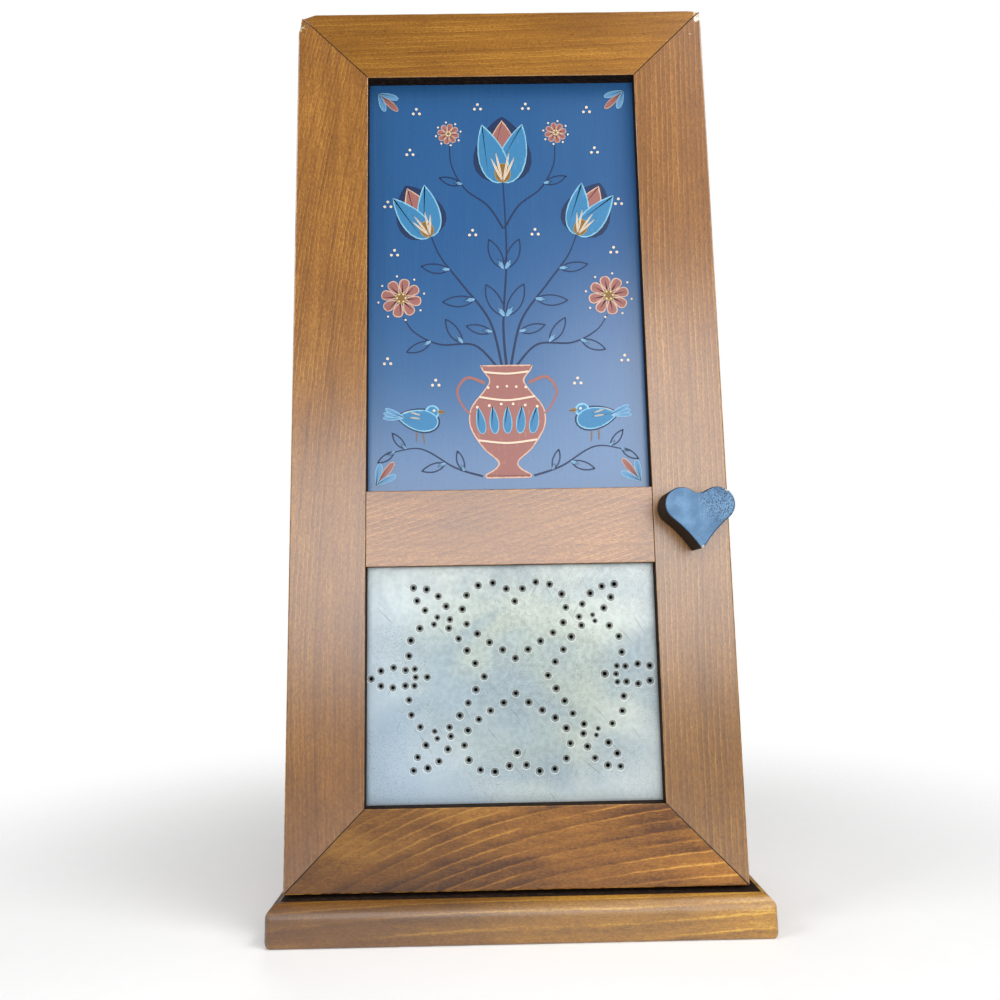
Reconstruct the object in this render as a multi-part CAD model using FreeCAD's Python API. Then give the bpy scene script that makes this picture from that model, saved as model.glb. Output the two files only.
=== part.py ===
import FreeCAD, Part

# A slim one-door country cabinet: a case of pine boards on a rounded base board, and a mitred door with
# a painted panel above, a punched-tin panel below and a heart-shaped knob.
# Lengths are millimetres. +Z is up, the door faces -Y, and the origin is on the base's underside, below the
# middle of the case. The base reaches further past the case on the right, the knob's side.

import os
from math import acos, asin, atan2, cos, hypot, pi, sin, tan

Vector = FreeCAD.Vector

# Base board
BASE_HEIGHT = 31.75
BASE_FRONT_REACH = 14.0
BASE_LEFT_REACH = 11.0
BASE_RIGHT_REACH = 17.0
BASE_TOP_ROUND = 12.7
BASE_FOOT_ROUND = 3.0
BASE_END_FOOT_ROUND = 7.5
BASE_CORNER_ROUND = 6.0

# Door frame
DOOR_WIDTH = 368.3
DOOR_HEIGHT = 762.0
DOOR_THICKNESS = 19.05
DOOR_ARRIS = 1.2
FRAME_WIDTH = 63.5
MID_RAIL_HEIGHT = 63.5
TIN_OPENING_HEIGHT = 192.6
SIGHT_LIP = 11.0
REBATE_WIDTH = 8.0
TENON_LENGTH = 19.0
TENON_THICKNESS = 5.0
TENON_SHOULDER = 12.0
MITRE_KEY_THICKNESS = 4.0
MITRE_KEY_REACH = 12.0
MITRE_KEY_SHARE = 0.55

# Panels and the strips that hold them
PANEL_CLEARANCE = 0.8
PAINTED_PANEL_THICKNESS = 3.2
TIN_THICKNESS = 0.5
STOP_CHAMFER = 1.5
STOP_NAIL_LENGTH = 16.0
STOP_NAIL_SIZE = 1.2
STOP_NAIL_SHARES = (0.2, 0.8)

# Punched pattern: four hearts with their tips to the middle, and six leaves of holes round them
PATTERN_SHIFT_X = 2.7
PATTERN_SHIFT_Z = 4.5
PUNCH_MOUTH_RADIUS = 2.6
PUNCH_HOLE_RADIUS = 1.7
HEART_LOBE_RADIUS = 22.3
HEART_LOBE_HALF_SPREAD = 21.2
HEART_LOBE_RISE = 40.2
HEART_STEPS = 10
UPRIGHT_HEART_TIP = 14.5
LEVEL_HEART_TIP = 26.7
LEAF_STEPS = 4
LEAF_HALF_WIDTH = 8.2
CORNER_LEAF_LENGTH = 40.5
CORNER_LEAF_X = 54.3
CORNER_LEAF_Z = 47.6
SIDE_LEAF_LENGTH = 37.0
SIDE_LEAF_X = 83.5

# Heart knob: two round lobes, a soft cleft between them, and hollow flanks that meet in a blunt tip
KNOB_WIDTH = 56.6
KNOB_HEIGHT = 49.6
KNOB_THICKNESS = 30.0
KNOB_RISE = 2.1
KNOB_ARRIS = 1.2
KNOB_LOBE_RADIUS = 14.0
KNOB_CLEFT_RADIUS = 10.0
KNOB_FLANK_RADIUS = 100.0
KNOB_TIP_HALF_WIDTH = 1.4
KNOB_SCREW_BITE = 18.0
KNOB_SCREW_RADIUS = 2.0
KNOB_SCREW_HEAD_RADIUS = 3.8
KNOB_SCREW_HEAD_HEIGHT = 2.4

# Case
CASE_DEPTH = 184.15
BOARD_THICKNESS = 19.05
SHELF_THICKNESS = 12.7
SHELF_SETBACK = 6.0
DADO_DEPTH = 6.35
BACK_THICKNESS = 6.35
BACK_RABBET = 9.5
BACK_CLEARANCE = 0.5
DOOR_CLEARANCE = 2.75
DOOR_GAP = 1.0
UPPER_SHELF_SHARE = 0.5
SIDE_ARRIS = 1.2

# Hanging rail and its two wall-screw holes
HANGING_RAIL_HEIGHT = 63.5
HANGING_RAIL_THICKNESS = 19.05
WALL_HOLE_SPACING = 203.2
WALL_HOLE_RADIUS = 2.75

# Small screws and punched holes have this many flats round them
ROUND_SIDES = 8

# Nails and screws of the case
CASE_NAIL_LENGTH = 38.0
CASE_NAIL_WIDTH = 3.0
CASE_NAIL_THICKNESS = 2.0
CASE_NAIL_SHARES = (0.2, 0.8)
BACK_NAIL_LENGTH = 16.0
BACK_NAIL_SIZE = 1.6
BACK_NAIL_SHARES = (0.3, 0.65)
BASE_SCREW_LENGTH = 60.0
BASE_SCREW_RADIUS = 2.1
BASE_SCREW_HEAD_RADIUS = 4.2
BASE_SCREW_HEAD_HEIGHT = 2.6
BASE_SCREW_SHARES = (0.32, 0.68)

# Butt hinges
HINGE_HEIGHT = 50.8
HINGE_FROM_END = 76.2
LEAF_WIDTH = 15.0
LEAF_THICKNESS = 1.0
LEAF_GAP = 0.4
KNUCKLE_RADIUS = 2.2
KNUCKLE_CLEARANCE = 0.3
PIN_RADIUS = 1.15
PIN_CLEARANCE = 0.05
PIN_TIP_RADIUS = 1.8
PIN_TIP_HEIGHT = 1.0
HINGE_SCREW_LENGTH = 14.0
HINGE_SCREW_RADIUS = 1.3
HINGE_SCREW_HEAD_RADIUS = 2.6
HINGE_SCREW_SHARE = 0.32

# Magnetic catch and its strike plate
CATCH_WIDTH = 12.0
CATCH_DEPTH = 20.0
CATCH_HEIGHT = 42.0
CATCH_DROP = 8.0
CATCH_GAP = 0.3
MAGNET_WIDTH = 5.0
MAGNET_DEPTH = 10.0
MAGNET_HEIGHT = 22.0
POLE_THICKNESS = 1.2
POLE_PROJECTION = 1.0
CATCH_SCREW_BITE = 9.0
CATCH_SCREW_RADIUS = 1.5
CATCH_SCREW_HEAD_RADIUS = 2.8
CATCH_SCREW_HEAD_HEIGHT = 1.5
STRIKE_WIDTH = 12.0
STRIKE_HEIGHT = 34.0
STRIKE_THICKNESS = 0.8
STRIKE_SCREW_LENGTH = 12.0

# Planes and places worked out from the sizes above
BASE_ENDS = (-DOOR_WIDTH / 2 - BASE_LEFT_REACH, DOOR_WIDTH / 2 + BASE_RIGHT_REACH)
BASE_DEPTH = BASE_FRONT_REACH + DOOR_THICKNESS + DOOR_GAP + CASE_DEPTH
BACK_Y = BASE_DEPTH / 2
CASE_FRONT_Y = BACK_Y - CASE_DEPTH
DOOR_BACK_Y = CASE_FRONT_Y - DOOR_GAP
DOOR_FRONT_Y = DOOR_BACK_Y - DOOR_THICKNESS
PANEL_Y = DOOR_FRONT_Y + SIGHT_LIP
HALF_WIDTH = DOOR_WIDTH / 2
INNER_HALF = HALF_WIDTH - BOARD_THICKNESS
OPENING_HALF = HALF_WIDTH - FRAME_WIDTH
DOOR_Z = BASE_HEIGHT + DOOR_CLEARANCE
DOOR_TOP_Z = DOOR_Z + DOOR_HEIGHT
MID_RAIL_Z = DOOR_Z + FRAME_WIDTH + TIN_OPENING_HEIGHT
MID_RAIL_TOP_Z = MID_RAIL_Z + MID_RAIL_HEIGHT
TIN_OPENING = (DOOR_Z + FRAME_WIDTH, MID_RAIL_Z)
PAINTED_OPENING = (MID_RAIL_TOP_Z, DOOR_TOP_Z - FRAME_WIDTH)
BACK_PANEL_Y = BACK_Y - BACK_THICKNESS
TOP_PANEL_Z = DOOR_TOP_Z - BOARD_THICKNESS
FLOOR_Z = BASE_HEIGHT + BOARD_THICKNESS
LOWER_SHELF_Z = (MID_RAIL_Z + MID_RAIL_TOP_Z - SHELF_THICKNESS) / 2
UPPER_SPACE = TOP_PANEL_Z - LOWER_SHELF_Z - SHELF_THICKNESS
UPPER_SHELF_Z = LOWER_SHELF_Z + SHELF_THICKNESS + UPPER_SPACE * UPPER_SHELF_SHARE - SHELF_THICKNESS / 2
SHELF_FRONT_Y = CASE_FRONT_Y + SHELF_SETBACK
RAIL_Z = TOP_PANEL_Z - HANGING_RAIL_HEIGHT
RAIL_Y = BACK_PANEL_Y - HANGING_RAIL_THICKNESS
PIN_X = -HALF_WIDTH - KNUCKLE_RADIUS - KNUCKLE_CLEARANCE
PIN_Y = (CASE_FRONT_Y + DOOR_BACK_Y) / 2
LOWER_HINGE_Z = DOOR_Z + HINGE_FROM_END + HINGE_HEIGHT / 2
UPPER_HINGE_Z = DOOR_TOP_Z - HINGE_FROM_END - HINGE_HEIGHT / 2
HINGE_HEIGHTS = (LOWER_HINGE_Z, UPPER_HINGE_Z)
HINGE_SCREW_X = -HALF_WIDTH + LEAF_WIDTH / 2
KNOB_X = HALF_WIDTH - FRAME_WIDTH / 2
KNOB_Z = (MID_RAIL_Z + MID_RAIL_TOP_Z) / 2 + KNOB_RISE
CATCH_X = INNER_HALF - CATCH_WIDTH / 2
CATCH_Z = UPPER_SHELF_Z - CATCH_DROP - CATCH_HEIGHT / 2
STRIKE_BACK_Y = DOOR_BACK_Y + STRIKE_THICKNESS
POLE_FRONT_Y = STRIKE_BACK_Y + CATCH_GAP
CATCH_FRONT_Y = POLE_FRONT_Y + POLE_PROJECTION
CATCH_SCREW_RISE = (CATCH_HEIGHT + MAGNET_HEIGHT) / 4

LEFT, RIGHT = -1, 1
TOWARDS_BACK = Vector(0, 1, 0)
TOWARDS_FRONT = Vector(0, -1, 0)
UP = Vector(0, 0, 1)


def box(xs, ys, zs):
    """A block between two values on each axis, given in either order."""
    low = Vector(min(xs), min(ys), min(zs))
    return Part.makeBox(abs(xs[1] - xs[0]), abs(ys[1] - ys[0]), abs(zs[1] - zs[0]), low)


def cut_all(shape, tools):
    """The shape without any of the tools."""
    return shape.cut(Part.makeCompound(tools))


def on_xy(u, v):
    return Vector(u, v, 0)


def on_xz(u, v):
    return Vector(u, 0, v)


def on_yz(u, v):
    return Vector(0, u, v)


def rounded_face(corners, plane):
    """A face whose straight sides meet in arcs. Each corner is (u, v, radius)."""
    starts, ends, middles = [], [], []
    for index, (u, v, radius) in enumerate(corners):
        here = plane(u, v)
        before = (plane(*corners[index - 1][:2]) - here).normalize()
        after = (plane(*corners[(index + 1) % len(corners)][:2]) - here).normalize()
        half_angle = acos(before.dot(after)) / 2
        reach = radius / tan(half_angle)
        bisector = (before + after).normalize()
        starts.append(here + before * reach)
        ends.append(here + after * reach)
        middles.append(here + bisector * (radius / sin(half_angle) - radius))
    edges = []
    for index, corner in enumerate(corners):
        if corner[2] > 0:
            edges.append(Part.Arc(starts[index], middles[index], ends[index]).toShape())
        following = starts[(index + 1) % len(corners)]
        edges.append(Part.LineSegment(ends[index], following).toShape())
    return Part.Face(Part.Wire(edges))


def board(points, ys):
    """A flat board with the given outline in the door's plane, between two depths."""
    outline = Part.makePolygon([Vector(x, ys[0], z) for x, z in points + points[:1]])
    return Part.Face(outline).extrude(Vector(0, ys[1] - ys[0], 0))


def lies_at(point, place):
    """Whether a point has the given coordinates, such as {"x": 0}."""
    near = FreeCAD.Base.Precision.confusion()
    return all(abs(getattr(point, axis) - value) < near for axis, value in place.items())


def edges_at(shape, **place):
    """The edges whose ends all lie at the given coordinates."""
    return [edge for edge in shape.Edges if all(lies_at(end.Point, place) for end in edge.Vertexes)]


def flat_face(points):
    return Part.Face(Part.makePolygon(points + points[:1]))


def prism(low_radius, high_radius, low, high):
    """An upright bar or cone whose round side is a few flats, as small screws and punched holes have here."""
    turns = [2 * pi * (index + 0.5) / ROUND_SIDES for index in range(ROUND_SIDES)]
    rings = [
        [Vector(radius * cos(turn), radius * sin(turn), height) for turn in turns]
        for radius, height in ((low_radius, low), (high_radius, high))
    ]
    faces = [flat_face(ring) for ring in rings]
    for index in range(ROUND_SIDES):
        faces.append(flat_face([rings[0][index - 1], rings[0][index], rings[1][index], rings[1][index - 1]]))
    return Part.Solid(Part.Shell(faces))


def countersunk_screw(radius, head_radius, head_height, length):
    """A screw whose flat head is level with the origin, its shank down along -Z."""
    head = prism(radius, head_radius, -head_height, 0)
    return head.fuse(prism(radius, radius, -length, -head_height))


def placed(shape, point, outward):
    """A copy of a fastener at a point, its head facing outward."""
    copy = shape.copy()
    copy.Placement = FreeCAD.Placement(point, FreeCAD.Rotation(UP, outward))
    return copy


def base_board():
    """The base: a half-inch round-over on its top at the front and both ends, and a square back."""
    left, right = BASE_ENDS
    front = -BASE_DEPTH / 2
    across = [
        (front, 0, BASE_FOOT_ROUND),
        (BACK_Y, 0, 0),
        (BACK_Y, BASE_HEIGHT, 0),
        (front, BASE_HEIGHT, BASE_TOP_ROUND),
    ]
    along = [
        (left, 0, BASE_END_FOOT_ROUND),
        (right, 0, BASE_END_FOOT_ROUND),
        (right, BASE_HEIGHT, BASE_TOP_ROUND),
        (left, BASE_HEIGHT, BASE_TOP_ROUND),
    ]
    plan = [
        (left, front, BASE_CORNER_ROUND),
        (right, front, BASE_CORNER_ROUND),
        (right, BACK_Y, 0),
        (left, BACK_Y, 0),
    ]
    run = rounded_face(across, on_yz).extrude(Vector(right - left, 0, 0))
    run.translate(Vector(left, 0, 0))
    ends = rounded_face(along, on_xz).extrude(Vector(0, BASE_DEPTH, 0))
    ends.translate(Vector(0, front, 0))
    corners = rounded_face(plan, on_xy).extrude(Vector(0, 0, BASE_HEIGHT))
    return run.common(ends).common(corners)


def base_screws():
    screw = countersunk_screw(
        BASE_SCREW_RADIUS, BASE_SCREW_HEAD_RADIUS, BASE_SCREW_HEAD_HEIGHT, BASE_SCREW_LENGTH
    )
    reach = HALF_WIDTH - BOARD_THICKNESS / 2
    screws = []
    for side in (LEFT, RIGHT):
        for share in BASE_SCREW_SHARES:
            screws.append(placed(screw, Vector(side * reach, CASE_FRONT_Y + share * CASE_DEPTH, 0), -UP))
    return screws


def board_ends():
    """Each board between the sides, from the lowest up, as (front, back, bottom, top)."""
    return {
        "bottom_panel": (CASE_FRONT_Y, BACK_PANEL_Y, BASE_HEIGHT, FLOOR_Z),
        "lower_shelf": (SHELF_FRONT_Y, BACK_PANEL_Y, LOWER_SHELF_Z, LOWER_SHELF_Z + SHELF_THICKNESS),
        "upper_shelf": (SHELF_FRONT_Y, BACK_PANEL_Y, UPPER_SHELF_Z, UPPER_SHELF_Z + SHELF_THICKNESS),
        "top_panel": (CASE_FRONT_Y, BACK_PANEL_Y, TOP_PANEL_Z, DOOR_TOP_Z),
    }


def case_nails():
    """Two cut nails through each side into the end of every board, and two into the hanging rail."""
    nails = []
    for side in (LEFT, RIGHT):
        outer = side * HALF_WIDTH
        reach = (outer, outer - side * CASE_NAIL_LENGTH)
        for front, back, bottom, top in board_ends().values():
            for share in CASE_NAIL_SHARES:
                y = front + share * (back - front)
                z = (bottom + top) / 2
                ys = (y - CASE_NAIL_WIDTH / 2, y + CASE_NAIL_WIDTH / 2)
                zs = (z - CASE_NAIL_THICKNESS / 2, z + CASE_NAIL_THICKNESS / 2)
                nails.append(box(reach, ys, zs))
        for share in CASE_NAIL_SHARES:
            y = RAIL_Y + HANGING_RAIL_THICKNESS / 2
            z = RAIL_Z + share * HANGING_RAIL_HEIGHT
            ys = (y - CASE_NAIL_THICKNESS / 2, y + CASE_NAIL_THICKNESS / 2)
            zs = (z - CASE_NAIL_WIDTH / 2, z + CASE_NAIL_WIDTH / 2)
            nails.append(box(reach, ys, zs))
    return nails


def back_nails():
    """Short nails through the back panel's edges into the sides, beside each space between two boards."""
    nails = []
    half = BACK_NAIL_SIZE / 2
    depth = (BACK_Y - BACK_NAIL_LENGTH, BACK_Y)
    boards = list(board_ends().values())
    for below, above in zip(boards, boards[1:]):
        floor, ceiling = below[3], above[2]
        for share in BACK_NAIL_SHARES:
            z = floor + share * (ceiling - floor)
            for side in (LEFT, RIGHT):
                x = side * (INNER_HALF + BACK_RABBET / 2)
                nails.append(box((x - half, x + half), depth, (z - half, z + half)))
    return nails


def side_board(side):
    """A case side with rabbets for the top, bottom and back, and dadoes for the shelves."""
    outer = side * HALF_WIDTH
    inner = side * INNER_HALF
    shape = box((outer, inner), (CASE_FRONT_Y, BACK_Y), (BASE_HEIGHT, DOOR_TOP_Z))
    shape = shape.makeFillet(SIDE_ARRIS, edges_at(shape, x=outer, y=CASE_FRONT_Y))
    grooves = [box((inner, inner + side * BACK_RABBET), (BACK_PANEL_Y, BACK_Y), (BASE_HEIGHT, DOOR_TOP_Z))]
    for front, back, bottom, top in board_ends().values():
        grooves.append(box((inner, inner + side * DADO_DEPTH), (front, back), (bottom, top)))
    return cut_all(shape, grooves)


def cross_board(name):
    """A board whose ends sit in both sides."""
    front, back, bottom, top = board_ends()[name]
    reach = INNER_HALF + DADO_DEPTH
    return box((-reach, reach), (front, back), (bottom, top))


def wall_holes():
    holes = []
    for side in (LEFT, RIGHT):
        start = Vector(side * WALL_HOLE_SPACING / 2, RAIL_Y, RAIL_Z + HANGING_RAIL_HEIGHT / 2)
        holes.append(Part.makeCylinder(WALL_HOLE_RADIUS, BACK_Y - RAIL_Y, start, TOWARDS_BACK))
    return holes


def back_panel():
    reach = INNER_HALF + BACK_RABBET - BACK_CLEARANCE
    heights = (BASE_HEIGHT + BACK_CLEARANCE, DOOR_TOP_Z - BACK_CLEARANCE)
    return cut_all(box((-reach, reach), (BACK_PANEL_Y, BACK_Y), heights), wall_holes())


def hanging_rail():
    shape = box((-INNER_HALF, INNER_HALF), (RAIL_Y, BACK_PANEL_Y), (RAIL_Z, TOP_PANEL_Z))
    return cut_all(shape, wall_holes())


def knuckle_spans(centre, of_door):
    """The heights of a leaf's knuckles: the door leaf has the middle one, the case leaf the outer two."""
    length = (HINGE_HEIGHT - 2 * KNUCKLE_CLEARANCE) / 3
    if of_door:
        return [(centre - length / 2, centre + length / 2)]
    half = HINGE_HEIGHT / 2
    return [(centre - half, centre - half + length), (centre + half - length, centre + half)]


def hinge_leaf(centre, of_door):
    """A leaf with its knuckles: a plate let into the wood, rolled round the pin outside the door's edge."""
    toward = -1 if of_door else 1
    faces = (PIN_Y + toward * LEAF_GAP / 2, PIN_Y + toward * (LEAF_GAP / 2 + LEAF_THICKNESS))
    heights = (centre - HINGE_HEIGHT / 2, centre + HINGE_HEIGHT / 2)
    shape = box((PIN_X, -HALF_WIDTH + LEAF_WIDTH), faces, heights)
    room = KNUCKLE_RADIUS + KNUCKLE_CLEARANCE
    for low, high in knuckle_spans(centre, not of_door):
        gap = (low - KNUCKLE_CLEARANCE, high + KNUCKLE_CLEARANCE)
        shape = shape.cut(box((PIN_X - room, PIN_X + room), (PIN_Y - room, PIN_Y + room), gap))
    for low, high in knuckle_spans(centre, of_door):
        shape = shape.fuse(Part.makeCylinder(KNUCKLE_RADIUS, high - low, Vector(PIN_X, PIN_Y, low)))
    bore = Part.makeCylinder(PIN_RADIUS + PIN_CLEARANCE, HINGE_HEIGHT, Vector(PIN_X, PIN_Y, heights[0]))
    return shape.cut(bore)


def hinge_pin(centre):
    """A pin with a round tip at each end that keeps it in the knuckles."""
    low = centre - HINGE_HEIGHT / 2
    high = centre + HINGE_HEIGHT / 2
    pin = Part.makeCylinder(PIN_RADIUS, HINGE_HEIGHT, Vector(PIN_X, PIN_Y, low))
    for start in (low - PIN_TIP_HEIGHT, high):
        pin = pin.fuse(Part.makeCylinder(PIN_TIP_RADIUS, PIN_TIP_HEIGHT, Vector(PIN_X, PIN_Y, start)))
    return pin


def hinge_gain(centre, of_door):
    """The recess that lets a leaf into the wood."""
    toward = -1 if of_door else 1
    wood = DOOR_BACK_Y if of_door else CASE_FRONT_Y
    floor = PIN_Y + toward * (LEAF_GAP / 2 + LEAF_THICKNESS)
    heights = (centre - HINGE_HEIGHT / 2, centre + HINGE_HEIGHT / 2)
    return box((-HALF_WIDTH, -HALF_WIDTH + LEAF_WIDTH), (wood, floor), heights)


def hinge_screws(of_door):
    """Two screws in each leaf, their heads level with it."""
    screw = countersunk_screw(HINGE_SCREW_RADIUS, HINGE_SCREW_HEAD_RADIUS, LEAF_THICKNESS, HINGE_SCREW_LENGTH)
    toward = -1 if of_door else 1
    outward = TOWARDS_BACK if of_door else TOWARDS_FRONT
    screws = []
    for centre in HINGE_HEIGHTS:
        for offset in (-HINGE_SCREW_SHARE, HINGE_SCREW_SHARE):
            point = Vector(HINGE_SCREW_X, PIN_Y + toward * LEAF_GAP / 2, centre + offset * HINGE_HEIGHT)
            screws.append(placed(screw, point, outward))
    return screws


def catch_screws():
    screw = countersunk_screw(
        CATCH_SCREW_RADIUS, CATCH_SCREW_HEAD_RADIUS, CATCH_SCREW_HEAD_HEIGHT, CATCH_WIDTH + CATCH_SCREW_BITE
    )
    y = CATCH_FRONT_Y + CATCH_DEPTH / 2
    x = INNER_HALF - CATCH_WIDTH
    inward = Vector(-1, 0, 0)
    return [
        placed(screw, Vector(x, y, CATCH_Z + side * CATCH_SCREW_RISE), inward) for side in (LEFT, RIGHT)
    ]


def catch_pieces():
    """The catch's housing with its pocket, the magnet, and the two steel poles beside the magnet."""
    heights = (CATCH_Z - MAGNET_HEIGHT / 2, CATCH_Z + MAGNET_HEIGHT / 2)
    body_heights = (CATCH_Z - CATCH_HEIGHT / 2, CATCH_Z + CATCH_HEIGHT / 2)
    magnet_half = MAGNET_WIDTH / 2
    pocket_half = magnet_half + POLE_THICKNESS
    pocket_back = CATCH_FRONT_Y + MAGNET_DEPTH
    body_depth = (CATCH_FRONT_Y, CATCH_FRONT_Y + CATCH_DEPTH)
    housing = box((INNER_HALF - CATCH_WIDTH, INNER_HALF), body_depth, body_heights)
    pocket = box((CATCH_X - pocket_half, CATCH_X + pocket_half), (CATCH_FRONT_Y, pocket_back), heights)
    magnet = box((CATCH_X - magnet_half, CATCH_X + magnet_half), (CATCH_FRONT_Y, pocket_back), heights)
    poles = []
    for side in (LEFT, RIGHT):
        reach = (CATCH_X + side * magnet_half, CATCH_X + side * pocket_half)
        poles.append(box(reach, (POLE_FRONT_Y, pocket_back), heights))
    return housing.cut(pocket), magnet, poles


def strike_screw():
    screw = countersunk_screw(
        CATCH_SCREW_RADIUS, CATCH_SCREW_HEAD_RADIUS, STRIKE_THICKNESS, STRIKE_SCREW_LENGTH
    )
    return placed(screw, Vector(CATCH_X, STRIKE_BACK_Y, CATCH_Z), TOWARDS_BACK)


def strike_plate():
    plan = [
        (CATCH_X + u * STRIKE_WIDTH / 2, CATCH_Z + v * STRIKE_HEIGHT / 2, CATCH_SCREW_RADIUS)
        for u, v in ((-1, -1), (1, -1), (1, 1), (-1, 1))
    ]
    plate = rounded_face(plan, on_xz).extrude(Vector(0, STRIKE_THICKNESS, 0))
    plate.translate(Vector(0, DOOR_BACK_Y, 0))
    return plate


def panel_rebates():
    """The two recesses in the back of the frame, one behind each opening."""
    reach = OPENING_HALF + REBATE_WIDTH
    return [
        box((-reach, reach), (PANEL_Y, DOOR_BACK_Y), (bottom - REBATE_WIDTH, top + REBATE_WIDTH))
        for bottom, top in (TIN_OPENING, PAINTED_OPENING)
    ]


def tenon_sizes():
    """Depths and heights of the mid rail's stub tenons, in the wood that the two rebates leave."""
    middle = DOOR_FRONT_Y + SIGHT_LIP / 2
    ys = (middle - TENON_THICKNESS / 2, middle + TENON_THICKNESS / 2)
    return ys, (MID_RAIL_Z + TENON_SHOULDER, MID_RAIL_TOP_Z - TENON_SHOULDER)


def tenon(side):
    ys, zs = tenon_sizes()
    return box((side * OPENING_HALF, side * (OPENING_HALF + TENON_LENGTH)), ys, zs)


def mitre_keys():
    """A hidden flat key across each mitre, half in the stile and half in the rail."""
    half_length = MITRE_KEY_SHARE * FRAME_WIDTH / 2
    across = MITRE_KEY_REACH / 2**0.5
    middle = DOOR_FRONT_Y + SIGHT_LIP / 2
    keys = []
    for side in (LEFT, RIGHT):
        for edge_z, inward in ((DOOR_Z, 1), (DOOR_TOP_Z, -1)):
            x = side * (HALF_WIDTH - FRAME_WIDTH / 2)
            z = edge_z + inward * FRAME_WIDTH / 2
            outline = []
            for along, over in ((-1, -1), (1, -1), (1, 1), (-1, 1)):
                u = along * half_length + over * across
                v = along * half_length - over * across
                outline.append((x - side * u, z + inward * v))
            keys.append(board(outline, (middle - MITRE_KEY_THICKNESS / 2, middle + MITRE_KEY_THICKNESS / 2)))
    return keys


def door_stile(side):
    """A stile with both ends mitred, rebated behind the openings and mortised for the mid rail."""
    outer = side * HALF_WIDTH
    inner = side * OPENING_HALF
    outline = [
        (outer, DOOR_Z),
        (inner, DOOR_Z + FRAME_WIDTH),
        (inner, DOOR_TOP_Z - FRAME_WIDTH),
        (outer, DOOR_TOP_Z),
    ]
    shape = board(outline, (DOOR_FRONT_Y, DOOR_BACK_Y))
    shape = shape.makeFillet(DOOR_ARRIS, edges_at(shape, x=outer, y=DOOR_FRONT_Y))
    return cut_all(shape, panel_rebates() + [tenon(side)] + mitre_keys())


def end_rail(edge_z, inward):
    """The top or bottom rail with both ends mitred, rebated along its inner edge."""
    inner_z = edge_z + inward * FRAME_WIDTH
    outline = [(-HALF_WIDTH, edge_z), (HALF_WIDTH, edge_z), (OPENING_HALF, inner_z), (-OPENING_HALF, inner_z)]
    shape = board(outline, (DOOR_FRONT_Y, DOOR_BACK_Y))
    shape = shape.makeFillet(DOOR_ARRIS, edges_at(shape, y=DOOR_FRONT_Y, z=edge_z))
    return cut_all(shape, panel_rebates() + mitre_keys())


def mid_rail():
    """The rail between the panels: butted to the stiles, with a stub tenon at each end."""
    zs = (MID_RAIL_Z, MID_RAIL_TOP_Z)
    shape = cut_all(box((-OPENING_HALF, OPENING_HALF), (DOOR_FRONT_Y, DOOR_BACK_Y), zs), panel_rebates())
    return shape.fuse(tenon(LEFT)).fuse(tenon(RIGHT)).removeSplitter()


def panel_blank(opening, thickness):
    """A thin panel that sits against the lip of the frame, a little smaller than its rebate."""
    grow = REBATE_WIDTH - PANEL_CLEARANCE
    reach = OPENING_HALF + grow
    return box((-reach, reach), (PANEL_Y, PANEL_Y + thickness), (opening[0] - grow, opening[1] + grow))


def heart_point(share):
    """A point on the right half of a punched heart, from its tip (share 0) to its cleft (share 1).

    The side runs straight from the tip at the origin, and the lobe is an arc that the side touches.
    """
    distance = hypot(HEART_LOBE_HALF_SPREAD, HEART_LOBE_RISE)
    straight = (distance**2 - HEART_LOBE_RADIUS**2) ** 0.5
    slope = atan2(HEART_LOBE_RISE, HEART_LOBE_HALF_SPREAD) - asin(HEART_LOBE_RADIUS / distance)
    arc_start = slope - pi / 2
    arc_end = pi - acos(min(1, HEART_LOBE_HALF_SPREAD / HEART_LOBE_RADIUS))
    length = straight + HEART_LOBE_RADIUS * (arc_end - arc_start)
    travelled = share * length
    if travelled <= straight:
        return travelled * cos(slope), travelled * sin(slope)
    turn = arc_start + (travelled - straight) / HEART_LOBE_RADIUS
    return (
        HEART_LOBE_HALF_SPREAD + HEART_LOBE_RADIUS * cos(turn),
        HEART_LOBE_RISE + HEART_LOBE_RADIUS * sin(turn),
    )


def heart_holes():
    """The holes of one heart, tip at the origin and lobes up."""
    half = [heart_point(step / HEART_STEPS) for step in range(HEART_STEPS + 1)]
    mirrored = [(-x, z) for x, z in half[1:-1]]
    return half + mirrored


def leaf_holes(length):
    """The holes of one leaf, along +X from its inner end: two shallow arcs that meet at both ends."""
    radius = (length**2 / 4 + LEAF_HALF_WIDTH**2) / (2 * LEAF_HALF_WIDTH)
    half_turn = asin(length / (2 * radius))
    holes = [(0, 0), (length, 0)]
    for step in range(1, LEAF_STEPS):
        turn = half_turn * (2 * step / LEAF_STEPS - 1)
        x = length / 2 + radius * sin(turn)
        z = radius * cos(turn) - radius + LEAF_HALF_WIDTH
        holes += [(x, z), (x, -z)]
    return holes


def turned(points, turn, shift):
    """Points turned about the origin and then shifted."""
    across, up = shift
    return [
        (across + x * cos(turn) - z * sin(turn), up + x * sin(turn) + z * cos(turn)) for x, z in points
    ]


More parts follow.
